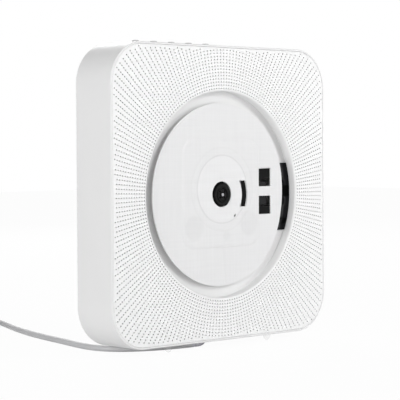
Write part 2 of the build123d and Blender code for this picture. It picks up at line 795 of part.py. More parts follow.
# ---- rear cover: recess with a hanging lip, vents, standoffs ---------------------------------
board_middle_z = board_bottom_z + board_height / 2
standoff_x = board_width / 2 - standoff_inset
standoff_z = board_height / 2 - standoff_inset
standoff_places = [(x, board_middle_z + z) for x in (-standoff_x, standoff_x)
                   for z in (-standoff_z, standoff_z)]
socket_board_end = inner_width / 2 - socket_board_gap
socket_standoff_x = socket_board_end - socket_standoff_inset
socket_standoffs = [(socket_standoff_x, socket_standoff_z), (socket_standoff_x, -socket_standoff_z)]
board_back = board_depth + board_thickness
socket_board_depth = socket_depth + usb_height / 2
socket_board_back = socket_board_depth + board_thickness
pocket_middle = pocket_top_z - pocket_height / 2
pocket_floor = body_depth - pocket_depth
with BuildPart() as rear_cover:
    with BuildSketch(at_depth(cover_front, body_mid_z)):
        RectangleRounded(inset_width, inset_height, inset_corner)
    extrude(amount=-cover_thickness)
    with BuildSketch(at_depth(pocket_floor - pocket_wall)):
        with Locations((0, pocket_middle)):
            RectangleRounded(pocket_width + 2 * pocket_wall, pocket_height + 2 * pocket_wall,
                             pocket_corner + pocket_wall)
    extrude(amount=-(cover_front - pocket_floor + pocket_wall))
    with BuildSketch(at_depth(pocket_floor)):
        with Locations((0, pocket_middle)):
            RectangleRounded(pocket_width, pocket_height, pocket_corner)
    extrude(amount=-(cover_front - pocket_floor), mode=Mode.SUBTRACT)
    with BuildSketch(at_depth(cover_front)):
        with Locations((0, pocket_middle - pocket_lip / 2)):
            Rectangle(pocket_width, pocket_height - pocket_lip)
    extrude(amount=-cover_thickness, mode=Mode.SUBTRACT)
    with BuildSketch(at_depth(board_back)):
        with Locations(*standoff_places):
            RegularPolygon(standoff_radius, small_sides)
            RegularPolygon(board_screw_radius, small_sides, mode=Mode.SUBTRACT)
    extrude(amount=-(cover_front - board_back))
    with BuildSketch(at_depth(socket_board_back)):
        with Locations(*socket_standoffs):
            RegularPolygon(standoff_radius, small_sides)
            RegularPolygon(board_screw_radius, small_sides, mode=Mode.SUBTRACT)
    extrude(amount=-(cover_front - socket_board_back))
    with BuildSketch(at_depth(cover_front)):
        with Locations((0, vent_z)):
            with GridLocations(0, vent_pitch, 1, vent_count):
                Rectangle(vent_length, vent_width)
        with Locations(*post_places):
            RegularPolygon(cover_screw_radius + fit, small_sides)
    extrude(amount=-cover_thickness, mode=Mode.SUBTRACT)
    with BuildSketch(at_depth(body_depth - cover_screw_head_height)):
        with Locations(*post_places):
            Circle(cover_screw_head + fit)
    extrude(amount=-cover_screw_head_height, mode=Mode.SUBTRACT)
keep(rear_cover, "rear_cover")

with BuildPart() as cover_screws:
    with BuildSketch(at_depth(body_depth - cover_screw_head_height)):
        with Locations(*post_places):
            Circle(cover_screw_head)
    extrude(amount=-cover_screw_head_height)
    with BuildSketch(at_depth(body_depth - cover_screw_head_height)):
        with Locations(*post_places):
            RegularPolygon(cover_screw_radius, small_sides)
    extrude(amount=cover_screw_length)
keep(cover_screws, "cover_screws")

# ---- wall bracket: plate flush with the back, stepped up behind the lip ----------------------
lip_bottom = pocket_top_z - pocket_lip
step_top = lip_bottom - bracket_gap
hook_back = cover_front - bracket_gap
with BuildPart() as wall_bracket:
    with BuildSketch(across(-bracket_width / 2)):
        with BuildLine():
            Polyline(
                (body_depth, step_top - bracket_height),
                (body_depth, step_top),
                (hook_back, step_top),
                (hook_back, step_top + bracket_hook - bracket_thickness),
                (hook_back - bracket_thickness, step_top + bracket_hook - bracket_thickness),
                (hook_back - bracket_thickness, step_top - bracket_thickness),
                (body_depth - bracket_thickness, step_top - bracket_thickness),
                (body_depth - bracket_thickness, step_top - bracket_height),
                close=True,
            )
        make_face()
    extrude(amount=bracket_width)
    with BuildSketch(at_depth(body_depth - bracket_thickness)):
        with Locations((bracket_hole_spacing / 2, step_top - bracket_hole_drop),
                       (-bracket_hole_spacing / 2, step_top - bracket_hole_drop)):
            Circle(bracket_hole_radius)
    extrude(amount=-bracket_thickness, mode=Mode.SUBTRACT)
keep(wall_bracket, "wall_bracket")

# ---- main board, its parts and screws --------------------------------------------------------
with BuildPart() as main_board:
    with BuildSketch(at_depth(board_depth)):
        with Locations((0, board_middle_z)):
            Rectangle(board_width, board_height)
        with Locations(*standoff_places):
            RegularPolygon(board_screw_radius + fit, small_sides, mode=Mode.SUBTRACT)
    extrude(amount=-board_thickness)
keep(main_board, "main_board")

with BuildPart() as board_chips:
    with BuildSketch(at_depth(board_depth)):
        with Locations(*[(x, board_middle_z + z) for x, z in chip_spots]):
            Rectangle(chip_size, chip_size)
    extrude(amount=chip_height)
keep(board_chips, "board_chips")

with BuildPart() as board_capacitors:
    with BuildSketch(at_depth(board_depth)):
        with Locations(*[(x, board_middle_z + z) for x, z in capacitor_spots]):
            Circle(capacitor_radius)
    extrude(amount=capacitor_height)
keep(board_capacitors, "board_capacitors")

with BuildPart() as board_screws:
    with BuildSketch(at_depth(board_depth)):
        with Locations(*standoff_places):
            RegularPolygon(board_screw_head, small_sides)
    extrude(amount=board_screw_head_height)
    with BuildSketch(at_depth(board_depth)):
        with Locations(*standoff_places):
            RegularPolygon(board_screw_radius, small_sides)
    extrude(amount=-(cover_front - board_depth))
keep(board_screws, "board_screws")

# ---- socket board with the audio jack and the USB socket -------------------------------------
with BuildPart() as socket_board:
    with BuildSketch(at_depth(socket_board_depth)):
        with Locations((socket_board_end - socket_board_width / 2, 0)):
            Rectangle(socket_board_width, 2 * socket_board_half_height)
        with Locations(*socket_standoffs):
            RegularPolygon(board_screw_radius + fit, small_sides, mode=Mode.SUBTRACT)
    extrude(amount=-board_thickness)
keep(socket_board, "socket_board")

with BuildPart() as socket_screws:
    with BuildSketch(at_depth(socket_board_depth)):
        with Locations(*socket_standoffs):
            RegularPolygon(board_screw_head, small_sides)
    extrude(amount=board_screw_head_height)
    with BuildSketch(at_depth(socket_board_depth)):
        with Locations(*socket_standoffs):
            RegularPolygon(board_screw_radius, small_sides)
    extrude(amount=-(cover_front - socket_board_depth))
keep(socket_screws, "socket_screws")

socket_face = body_width / 2 - socket_inset
wall_inside_x = body_width / 2 - shell_wall
with BuildPart() as audio_jack:
    with BuildSketch(across(socket_face, depth=socket_depth)):
        with Locations((0, jack_z)):
            Circle(jack_outer)
    extrude(amount=-(socket_face - wall_inside_x + fit))
    jack_middle = (socket_depth - jack_front + socket_board_depth) / 2
    with BuildSketch(across(wall_inside_x - fit, depth=jack_middle)):
        with Locations((0, jack_z)):
            Rectangle(socket_board_depth - socket_depth + jack_front, jack_body)
    extrude(amount=-jack_body_length)
    with BuildSketch(across(socket_face, depth=socket_depth)):
        with Locations((0, jack_z)):
            Circle(jack_radius)
    extrude(amount=-jack_length, mode=Mode.SUBTRACT)
keep(audio_jack, "audio_jack")

with BuildPart() as usb_socket:
    with BuildSketch(across(socket_face, depth=socket_depth)):
        with Locations((0, usb_z)):
            Rectangle(usb_height, usb_width)
    extrude(amount=-usb_length)
    with BuildSketch(across(socket_face, depth=socket_depth)):
        with Locations((0, usb_z)):
            Rectangle(usb_height - 2 * usb_wall, usb_width - 2 * usb_wall)
    extrude(amount=-(usb_length - usb_tongue), mode=Mode.SUBTRACT)
    with BuildSketch(across(socket_face - usb_tongue, depth=socket_depth)):
        with Locations((-usb_tongue / 2, usb_z)):
            Rectangle(usb_tongue, usb_width - 2 * (usb_wall + usb_tongue_inset))
    extrude(amount=-(usb_length - usb_tongue))
keep(usb_socket, "usb_socket")

# ---- feet ------------------------------------------------------------------------------------
with BuildPart() as feet:
    with BuildSketch(level(foot_height)):
        with GridLocations(2 * foot_x, 2 * foot_y, 2, 2):
            Circle(foot_radius)
    extrude(amount=-foot_height)
    chamfer(feet.edges().group_by(Axis.Z)[0], small_round)
keep(feet, "feet")

# ---- cord: gland, tube, coil, tail, tie and plug ---------------------------------------------
with BuildPart() as cord_gland:
    with BuildSketch(level(foot_height, gland_x, gland_y)):
        Circle(gland_flange_radius)
    extrude(amount=-gland_flange_thickness)
    with BuildSketch(level(foot_height, gland_x, gland_y)):
        Circle(gland_stub_radius)
    extrude(amount=2 * shell_wall)
    with BuildSketch(level(nose_z - gland_nose_radius, gland_x, gland_y)):
        Circle(gland_stub_radius)
    extrude(amount=foot_height - nose_z + gland_nose_radius)
    with BuildSketch(across(gland_end_x, nose_z, gland_y - front_y)):
        Circle(gland_nose_radius)
    extrude(amount=gland_x - gland_end_x)
keep(cord_gland, "cord_gland")

route = [
    (gland_end_x, gland_y),
    (-32.0, -2.0),
    (-50.0, 3.0),
    (-66.0, 12.0),
    (-73.0, 27.0),
    (-72.0, 46.0),
    (-66.0, 72.0),
    (-61.0, 98.0),
    (-54.0, 126.0),
    (-45.0, 153.0),
    (-33.0, 183.0),
    (-22.5, 211.0),
    (-19.0, 238.0),
]


def bend_radii(points):
    """The largest arc that each corner of the route has room for."""
    radii = []
    for before, corner, after in zip(points, points[1:], points[2:]):
        run_in = Vector(corner[0] - before[0], corner[1] - before[1], 0)
        run_out = Vector(after[0] - corner[0], after[1] - corner[1], 0)
        turn = radians(run_in.get_angle(run_out))
        radii.append(bend_share * min(run_in.length, run_out.length) / tan(turn / 2))
    return radii


cord_radii = bend_radii(route)
print("cord bend radii:", [round(radius, 1) for radius in cord_radii])
route_ends = Vector(*route[1]) - Vector(*route[0])
with BuildPart() as power_cord:
    with BuildLine() as cord_path:
        FilletPolyline(*[(x, y, cord_radius) for x, y in route], radius=cord_radii)
    with BuildSketch(Plane(origin=(*route[0], cord_radius), z_dir=(route_ends.X, route_ends.Y, 0))):
        Circle(cord_radius)
    sweep()
tube_length = sum(edge.length for edge in cord_path.edges())
print("cord tube length:", round(tube_length, 1))
print("volume over section times length:",
      round(power_cord.part.volume / (pi * cord_radius**2 * tube_length), 4))
keep(power_cord, "power_cord")

coil_width = coil_turns_across * cord_diameter
coil_height = coil_turns_high * cord_diameter
coil_bottom = tie_thickness + tie_gap
coil_section = Plane(origin=(*coil_centre, coil_bottom + coil_height / 2), x_dir=(0, 1, 0), z_dir=(1, 0, 0))
coil_axis = Axis((*coil_centre, 0), (0, 0, 1))
with BuildPart() as cord_coil:
    with BuildSketch(coil_section) as section:
        with Locations((coil_middle_radius, 0)):
            Rectangle(coil_width, coil_height)
        chamfer(section.vertices(), coil_chamfer)
    revolve(axis=coil_axis)
keep(cord_coil, "cord_coil")

with BuildPart() as cord_tie:
    tie_arc = degrees(tie_width / coil_middle_radius)
    outside = (coil_bottom, coil_chamfer + tie_thickness, Mode.ADD)
    inside = (tie_gap, coil_chamfer, Mode.SUBTRACT)
    for margin, corner_cut, tie_mode in (outside, inside):
        with BuildSketch(coil_section) as section:
            with Locations((coil_middle_radius, 0)):
                Rectangle(coil_width + 2 * margin, coil_height + 2 * margin)
            chamfer(section.vertices(), corner_cut)
        revolve(axis=coil_axis, revolution_arc=tie_arc, mode=tie_mode)
keep(cord_tie, "cord_tie")

plug_x = coil_centre[0] - coil_middle_radius - cord_diameter
plug_z = plug_body_height / 2
nose_start = coil_centre[1] - plug_clear
body_start = nose_start - plug_nose
shell_start = body_start - plug_body_length
tail_start = Vector(plug_x, coil_centre[1], coil_bottom + cord_radius)
tail_end = Vector(plug_x, nose_start, plug_z)
with BuildPart() as cord_tail:
    with BuildSketch(Plane(origin=tail_start, z_dir=tail_end - tail_start)):
        Circle(cord_radius)
    extrude(amount=(tail_end - tail_start).length)
keep(cord_tail, "cord_tail")


def plug_plane(y):
    """A plane across the plug that faces away from the coil."""
    return Plane(origin=(plug_x, y, plug_z), x_dir=(1, 0, 0), z_dir=(0, -1, 0))


with BuildPart() as plug_body:
    with BuildSketch(plug_plane(body_start)):
        RectangleRounded(plug_body_width, plug_body_height, plug_round)
    extrude(amount=plug_body_length)
    chamfer(plug_body.edges().group_by(Axis.Y)[0], small_round)
    with BuildSketch(plug_plane(nose_start)):
        Circle(plug_nose_radius)
    with BuildSketch(plug_plane(body_start)):
        Circle(plug_nose_radius + small_round)
    loft()
keep(plug_body, "plug_body")

with BuildPart() as plug_shell:
    with BuildSketch(plug_plane(shell_start)):
        Rectangle(plug_shell_width, plug_shell_height)
        Rectangle(plug_shell_width - 2 * plug_shell_wall, plug_shell_height - 2 * plug_shell_wall,
                  mode=Mode.SUBTRACT)
    extrude(amount=plug_shell_length)
    with BuildSketch(plug_plane(shell_start)):
        with Locations((0, plug_shell_wall + plug_tongue / 2 - plug_shell_height / 2)):
            Rectangle(plug_shell_width - 2 * plug_shell_wall, plug_tongue)
    extrude(amount=plug_shell_length - plug_tongue_inset)
keep(plug_shell, "plug_shell")
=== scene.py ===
import json
import math

import bmesh
import bpy
from mathutils import Matrix, Vector
from mathutils.geometry import delaunay_2d_cdt


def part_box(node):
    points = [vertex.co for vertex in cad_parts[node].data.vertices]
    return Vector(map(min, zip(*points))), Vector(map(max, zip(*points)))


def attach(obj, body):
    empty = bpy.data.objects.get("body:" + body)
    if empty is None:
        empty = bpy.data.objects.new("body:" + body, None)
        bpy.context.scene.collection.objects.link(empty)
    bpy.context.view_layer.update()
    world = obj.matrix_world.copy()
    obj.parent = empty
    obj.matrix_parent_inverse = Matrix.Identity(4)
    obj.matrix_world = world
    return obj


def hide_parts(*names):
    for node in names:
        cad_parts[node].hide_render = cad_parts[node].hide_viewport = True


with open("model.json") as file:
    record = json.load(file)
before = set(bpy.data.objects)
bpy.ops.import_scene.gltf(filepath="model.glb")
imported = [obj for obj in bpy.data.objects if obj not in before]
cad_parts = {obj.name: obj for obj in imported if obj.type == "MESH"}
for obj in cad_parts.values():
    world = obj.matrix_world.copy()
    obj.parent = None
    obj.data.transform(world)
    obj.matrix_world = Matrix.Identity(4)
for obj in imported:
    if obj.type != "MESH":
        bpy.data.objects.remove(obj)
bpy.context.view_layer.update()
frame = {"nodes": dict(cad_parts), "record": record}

# The housing stands upright on the floor. The front looks along -Y, Z is up, units are metres.
# "Depth" is measured backwards from the front face.
MM = 0.001
FRONT_Y = -17.0 * MM
DISC_Z = 100.0 * MM
BODY_MID_Z = 101.0 * MM
BODY_SIZE = 193.0 * MM
CORNER_RADIUS = 26.5 * MM
SHELL_RIM = 1.3 * MM
SEAM = 0.12 * MM
MERGE_DISTANCE = 0.0001 * MM


# ---- helpers ---------------------------------------------------------------------------------
def at(x, z, depth):
    """A point given by its place seen from the front, about the disc's axis, and its depth."""
    return Vector((x, FRONT_Y + depth, DISC_Z + z))


def band(one, two, count):
    """Faces between two rings of points, given by the numbers of their first points."""
    faces = []
    for k in range(count):
        following = (k + 1) % count
        faces.append((one + k, one + following, two + following, two + k))
    return faces


def mesh_object(name, vertices, faces, smooth=True, angle=35.0):
    """A mesh object from points and faces, with outward normals and smooth shading up to an angle."""
    mesh = bpy.data.meshes.new(name)
    mesh.from_pydata(vertices, [], faces)
    work = bmesh.new()
    work.from_mesh(mesh)
    bmesh.ops.remove_doubles(work, verts=work.verts, dist=MERGE_DISTANCE)
    bmesh.ops.dissolve_degenerate(work, edges=work.edges, dist=MERGE_DISTANCE / 10)
    bmesh.ops.recalc_face_normals(work, faces=work.faces)
    work.to_mesh(mesh)
    work.free()
    piece = bpy.data.objects.new(name, mesh)
    bpy.context.scene.collection.objects.link(piece)
    if smooth:
        mesh.shade_smooth()
        mesh.set_sharp_from_angle(angle=math.radians(angle))
    return piece


def lathe(profile, steps):
    """Points and faces of a profile of (radius, depth) pairs turned about the disc's axis."""
    vertices = []
    faces = []
    for radius, depth in profile:
        for i in range(steps):
            angle = 2 * math.pi * i / steps
            vertices.append(at(radius * math.cos(angle), radius * math.sin(angle), depth))
    for row in range(len(profile) - 1):
        faces += band(row * steps, (row + 1) * steps, steps)
    return vertices, faces


def arc(centre, radius, start, end, steps):
    """Points on an arc in a (radius, depth) profile, angles in degrees."""
    points = []
    for i in range(steps + 1):
        angle = math.radians(start + (end - start) * i / steps)
        points.append((centre[0] + radius * math.cos(angle), centre[1] + radius * math.sin(angle)))
    return points


def rounded_square(half, radius, steps):
    """Points round a square with round corners, counterclockwise, about the housing's middle."""
    points = []
    for quarter in range(4):
        turn = math.pi / 2 * quarter
        for i in range(steps + 1):
            angle = turn + math.pi / 2 * i / steps
            cx = (half - radius) * (1 if quarter in (0, 3) else -1)
            cz = (half - radius) * (1 if quarter in (0, 1) else -1)
            points.append((cx + radius * math.cos(angle), cz + radius * math.sin(angle)))
    return points


# ---- materials -------------------------------------------------------------------------------
# Fibres in a metre, counted across them and along them.
FIBRES_ACROSS = 700.0
FIBRES_ALONG = 25.0
MOTTLE = 25.0
GRAIN_DEPTH = 0.1 * MM
ROUGH_SPREAD = 0.06
COAT_ROUGHNESS = 0.08


def combine(nodes, links, operation, one, two):
    """One value made from two by the given operation."""
    result = nodes.new("ShaderNodeMath")
    result.operation = operation
    links.new(one, result.inputs[0])
    links.new(two, result.inputs[1])
    return result.outputs["Value"]


def spread_out(nodes, links, value, low, high):
    """A value from 0 to 1, spread from low to high."""
    level = nodes.new("ShaderNodeMapRange")
    level.inputs["To Min"].default_value = low
    level.inputs["To Max"].default_value = high
    links.new(value, level.inputs["Value"])
    return level.outputs["Result"]


def noise(nodes, links, vector, scale, detail):
    """A noise value over the given vector."""
    texture = nodes.new("ShaderNodeTexNoise")
    texture.inputs["Scale"].default_value = scale
    texture.inputs["Detail"].default_value = detail
    links.new(vector, texture.inputs["Vector"])
    return texture.outputs["Fac"]


def laid_lines(nodes, links, place, shade, strength):
    """Fine crossed streaks, as in a card pressed from fibres."""
    for scale in ((FIBRES_ACROSS, 1.0, FIBRES_ALONG), (FIBRES_ALONG, 1.0, FIBRES_ACROSS)):
        stretch = nodes.new("ShaderNodeMapping")
        stretch.inputs["Scale"].default_value = scale
        links.new(place.outputs["Object"], stretch.inputs["Vector"])
        level = nodes.new("ShaderNodeMapRange")
        level.inputs["From Min"].default_value = 0.3
        level.inputs["From Max"].default_value = 0.7
        level.inputs["To Min"].default_value = 1.0 - strength
        level.inputs["To Max"].default_value = 1.0 + strength
        links.new(noise(nodes, links, stretch.outputs["Vector"], 1.0, 2.0), level.inputs["Value"])
        shade = combine(nodes, links, "MULTIPLY", shade, level.outputs["Result"])
    return shade


def paint_round_shading(nodes, links, place, shade, x, z, radius, width, factor, line):
    """Paint shade or light on a disc, or only on a line round it, about a point seen from the front."""
    flat = nodes.new("ShaderNodeVectorMath")
    flat.operation = "MULTIPLY"
    flat.inputs[1].default_value = (1.0, 0.0, 1.0)
    links.new(place.outputs["Object"], flat.inputs[0])
    away = nodes.new("ShaderNodeVectorMath")
    away.operation = "DISTANCE"
    away.inputs[1].default_value = (x, 0.0, DISC_Z + z)
    links.new(flat.outputs["Vector"], away.inputs[0])
    past = nodes.new("ShaderNodeMath")
    past.operation = "SUBTRACT"
    past.inputs[1].default_value = radius
    links.new(away.outputs["Value"], past.inputs[0])
    value = past.outputs["Value"]
    if line:
        size = nodes.new("ShaderNodeMath")
        size.operation = "ABSOLUTE"
        links.new(value, size.inputs[0])
        value = size.outputs["Value"]
    level = nodes.new("ShaderNodeMapRange")
    level.interpolation_type = "SMOOTHSTEP"
    level.inputs["From Min"].default_value = 0.0 if line else -width
    level.inputs["From Max"].default_value = width
    level.inputs["To Min"].default_value = factor
    level.inputs["To Max"].default_value = 1.0
    links.new(value, level.inputs["Value"])
    return combine(nodes, links, "MULTIPLY", shade, level.outputs["Result"])


def material(name, colour, roughness, grain=900.0, bump=0.02, spread=0.02, metallic=0.0,
             coat=0.0, specular=0.5, edge=0.0, glow=0.0, alpha=1.0, painted_shading=(), laid=0.0):
    """A procedural finish: fine grain in the bump and the roughness, slow change in the colour, and where
    given painted shade and light in round spots and a faint painted glow.
    """
    mat = bpy.data.materials.new(name)
    mat.use_nodes = True
    nodes = mat.node_tree.nodes
    links = mat.node_tree.links
    shader = nodes["Principled BSDF"]
    shader.inputs["Metallic"].default_value = metallic
    shader.inputs["Specular IOR Level"].default_value = specular
    shader.inputs["Coat Weight"].default_value = coat
    shader.inputs["Coat Roughness"].default_value = COAT_ROUGHNESS
    shader.inputs["Emission Color"].default_value = (1.0, 1.0, 1.0, 1.0)
    shader.inputs["Emission Strength"].default_value = glow
    shader.inputs["Alpha"].default_value = alpha
    place = nodes.new("ShaderNodeTexCoord")
    slow = noise(nodes, links, place.outputs["Object"], MOTTLE, 3.0)
    shade = spread_out(nodes, links, slow, 1.0 - spread, 1.0 + spread)
    if laid:
        shade = laid_lines(nodes, links, place, shade, laid)
    for shading_spot in painted_shading:
        shade = paint_round_shading(nodes, links, place, shade, *shading_spot)
    blend = nodes.new("ShaderNodeMix")
    blend.data_type = "RGBA"
    blend.blend_type = "MULTIPLY"
    blend.inputs["Factor"].default_value = 1.0
    blend.inputs["A"].default_value = (*colour, 1.0)
    links.new(shade, blend.inputs["B"])
    links.new(blend.outputs["Result"], shader.inputs["Base Color"])
    fine = noise(nodes, links, place.outputs["Object"], grain, 4.0)
    smoothest = max(0.02, roughness - ROUGH_SPREAD)
    roughest = min(1.0, roughness + ROUGH_SPREAD)
    links.new(spread_out(nodes, links, fine, smoothest, roughest), shader.inputs["Roughness"])
    relief = nodes.new("ShaderNodeBump")
    relief.inputs["Strength"].default_value = bump
    relief.inputs["Distance"].default_value = GRAIN_DEPTH
    links.new(fine, relief.inputs["Height"])
    if edge:
        rounding = nodes.new("ShaderNodeBevel")
        rounding.samples = 4
        rounding.inputs["Radius"].default_value = edge
        links.new(rounding.outputs["Normal"], relief.inputs["Normal"])
    links.new(relief.outputs["Normal"], shader.inputs["Normal"])
    return mat


# The card's pressed ring, the round places where it is pressed back, and a nick.
RING_CENTRE = (0.8 * MM, 3.6 * MM)
RING_RADIUS = 22.4 * MM
OUTER_RING = 27.5 * MM
CARD_PADS = (
    (-24.5 * MM, -21.5 * MM, 8.0 * MM),
    (25.0 * MM, -20.0 * MM, 8.0 * MM),
    (4.5 * MM, -27.5 * MM, 3.0 * MM),
)
NICK = (12.0 * MM, -14.0 * MM)
# Painted shade and light on the card: darker lines in its grooves, darker discs where it is pressed back
# and round the nick, and a lighter disc on its raised ring. Each is x, z, radius, soft width, shade, and
# whether it is only a line round the place.
CARD_PAINTED_SHADING = (
    (*RING_CENTRE, RING_RADIUS, 0.8 * MM, 0.90, True),
    (*RING_CENTRE, RING_RADIUS, 1.2 * MM, 1.03, False),
    (*RING_CENTRE, OUTER_RING, 1.2 * MM, 0.98, True),
    *((x, z, radius, 1.6 * MM, 0.96, False) for x, z, radius in CARD_PADS),
    (*NICK, 0.7 * MM, 0.25 * MM, 0.15, False),
)
FINISHES = {
    "housing_white": dict(colour=(0.80, 0.80, 0.80), roughness=0.48, grain=2600.0, bump=0.25,
                          edge=0.5 * MM),
    "panel_white": dict(colour=(0.84, 0.84, 0.84), roughness=0.5, grain=2600.0, bump=0.25),
    "window_black": dict(colour=(0.008, 0.008, 0.009), roughness=0.16, grain=60.0, bump=0.02,
                         specular=0.03),
    "paper_white": dict(colour=(0.78, 0.78, 0.785), roughness=0.85, grain=1800.0, bump=0.35, spread=0.012,
                        specular=0.2, laid=0.012, painted_shading=CARD_PAINTED_SHADING),
    "hub_black": dict(colour=(0.004, 0.004, 0.004), roughness=0.36, grain=1500.0, bump=0.10,
                      specular=0.04),
    # The mechanism's faint glow is painted light: it lifts the deep, shaded parts seen through the card's
    # windows to a dim grey.
    "mechanism_black": dict(colour=(0.010, 0.010, 0.011), roughness=0.7, grain=1500.0, bump=0.2,
                            specular=0.1, glow=0.012),
    "steel_bright": dict(colour=(0.55, 0.55, 0.56), roughness=0.2, metallic=1.0, grain=1200.0),
    "steel_plated": dict(colour=(0.60, 0.60, 0.61), roughness=0.32, metallic=1.0, grain=900.0, bump=0.1),
    "motor_can": dict(colour=(0.55, 0.55, 0.57), roughness=0.3, metallic=1.0, grain=700.0, bump=0.1),
    "damper_rubber": dict(colour=(0.03, 0.03, 0.03), roughness=0.75, bump=0.2),
    "lens_clear": dict(colour=(0.30, 0.34, 0.45), roughness=0.05, coat=1.0),
    "board_green": dict(colour=(0.02, 0.10, 0.04), roughness=0.35, grain=500.0, bump=0.3, coat=0.4),
    "chip_black": dict(colour=(0.02, 0.02, 0.021), roughness=0.55, bump=0.25),
    "speaker_steel": dict(colour=(0.05, 0.05, 0.055), roughness=0.4, bump=0.1),
    "speaker_paper": dict(colour=(0.05, 0.05, 0.05), roughness=0.9, bump=0.5),
    "magnet_grey": dict(colour=(0.10, 0.10, 0.105), roughness=0.7, bump=0.4),
    "button_white": dict(colour=(0.62, 0.62, 0.62), roughness=0.35, grain=2600.0, bump=0.1),
    "foot_clear": dict(colour=(0.92, 0.92, 0.92), roughness=0.35, bump=0.05, spread=0.01, alpha=0.12),
    "cord_grey": dict(colour=(0.55, 0.55, 0.56), roughness=0.5, grain=1500.0, bump=0.3, spread=0.05),
    # The gland's grey is painted light: lighter than the cord's, as the gland lies in the shade under the
    # housing.
    "gland_grey": dict(colour=(0.62, 0.61, 0.66), roughness=0.55, bump=0.2),
    "plug_grey": dict(colour=(0.33, 0.33, 0.35), roughness=0.45, bump=0.2),
    "plug_steel": dict(colour=(0.66, 0.66, 0.67), roughness=0.22, metallic=1.0, grain=900.0),
}
finish = {name: material(name, **settings) for name, settings in FINISHES.items()}
well_white = material("well_white", (0.80, 0.80, 0.80), 0.5, grain=2600.0, bump=0.1)
pane_black = material("pane_black", (0.002, 0.002, 0.002), 0.10, grain=60.0, bump=0.01,
                      specular=0.02)
tip_steel = material("tip_steel", (0.22, 0.22, 0.23), 0.5, grain=900.0, metallic=1.0)


def paint(piece, mat):
    """Give a piece one material."""
    piece.data.materials.clear()
    piece.data.materials.append(mat)


def dress(piece, name):
    """Give a piece one of the finishes."""
    paint(piece, finish[name])


for part in frame["record"]["subparts"]:
    node = frame["nodes"][part["node"]]
    paint(node, finish[part["material_slot"]])
    node.data.shade_smooth()
    node.data.set_sharp_from_angle(angle=math.radians(30))

paint(frame["nodes"]["disc_well"], well_white)
paint(frame["nodes"]["spindle_shaft"], tip_steel)
paint(frame["nodes"]["hub_balls"], finish["hub_black"])

# ---- front panel: rolled rim round the recess and holes on rays ----------------------------------
PANEL_HALF = BODY_SIZE / 2 - SHELL_RIM - SEAM
PANEL_CORNER = CORNER_RADIUS - SHELL_RIM - SEAM
WELL_RADIUS = 67.6 * MM
WELL_DEPTH = 6.85 * MM
RIM_ROUND = 1.5 * MM
RAYS = 200
RING_PITCH = 2.08 * MM
FIRST_RING = 69.55 * MM
HOLE_RADIUS = 0.55 * MM
HOLE_DEPTH = 1.5 * MM
HOLE_SIDES = 10
HOLE_MARGIN = 1.35 * MM
PANEL_EDGE_ROUND = 0.2 * MM
PANEL_EDGE_BACK = 2.4 * MM
CORNER_STEPS = 16
RIM_STEPS = 8
# A roll's share of its radius where one facet stands for the curve.
ROLL_SHARE = 0.3


def inside_distance(x, z, half, radius):
    """How far a point lies inside a rounded square about the housing's middle. Negative is outside."""
    z = z + DISC_Z - BODY_MID_Z
    ax = abs(x) - (half - radius)
    az = abs(z) - (half - radius)
    if ax > 0 and az > 0:
        return radius - math.hypot(ax, az)
    return radius - max(ax, az)


def clip_to_panel(polygon, outline):
    """Clip a polygon to the convex outline of the panel."""
    result = polygon
    for (ax, az), (bx, bz) in zip(outline, outline[1:] + outline[:1]):
        source = result
        result = []
        for (px, pz), (qx, qz) in zip(source, source[1:] + source[:1]):
            side_p = (bx - ax) * (pz - az) - (bz - az) * (px - ax)
            side_q = (bx - ax) * (qz - az) - (bz - az) * (qx - ax)
            if side_p >= 0:
                result.append((px, pz))
            if (side_p > 0 > side_q) or (side_p < 0 < side_q):
                share = side_p / (side_p - side_q)
                result.append((px + (qx - px) * share, pz + (qz - pz) * share))
        if len(result) < 3:
            return []
    return result


def rim_depth(radius):
    """Depth of the front face near the recess, where it rolls over into the wall."""
    flat = WELL_RADIUS + RIM_ROUND
    if radius >= flat:
        return 0.0
    return RIM_ROUND - math.sqrt(RIM_ROUND**2 - (flat - radius)**2)


def perforated_panel():
    """Cells on rays and rings round the recess, each with a blind hole; the outer ones are clipped."""
    vertices = []
    faces = []

    def add(points, depth=None):
        """Keep the points, on the face or at the given depth, and return their numbers."""
        start = len(vertices)
        for x, z in points:
            vertices.append(at(x, z, rim_depth(math.hypot(x, z)) if depth is None else depth))
        return list(range(start, start + len(points)))

    shift = BODY_MID_Z - DISC_Z
    flat_half = PANEL_HALF - PANEL_EDGE_ROUND
    flat_corner = PANEL_CORNER - PANEL_EDGE_ROUND
    outline = [(x, z + shift) for x, z in rounded_square(flat_half, flat_corner, CORNER_STEPS)]
    step = 2 * math.pi / RAYS
    reach = math.hypot(PANEL_HALF, PANEL_HALF + shift)
    rings = int((reach - FIRST_RING) / RING_PITCH) + 2
    for ring in range(rings):
        middle = FIRST_RING + ring * RING_PITCH
        near = middle - RING_PITCH / 2
        far = middle + RING_PITCH / 2
        for ray in range(RAYS):
            angle = step * ray
            low = angle - step / 2
            high = angle + step / 2
            cell = []
            for radius, turn in ((near, low), (middle, low), (far, low), (far, angle), (far, high),
                                 (middle, high), (near, high), (near, angle)):
                cell.append((radius * math.cos(turn), radius * math.sin(turn)))
            reach_in = min(inside_distance(x, z, flat_half, flat_corner) for x, z in cell)
            hx = middle * math.cos(angle)
            hz = middle * math.sin(angle)
            room = inside_distance(hx, hz, PANEL_HALF, PANEL_CORNER)
            if reach_in < 0:
                cell = clip_to_panel(cell, outline)
            if not cell:
                continue
            if room > HOLE_MARGIN:
                hole_in_polygon(vertices, faces, add, cell, hx, hz, angle)
            else:
                faces.append(add(cell))
    return vertices, faces


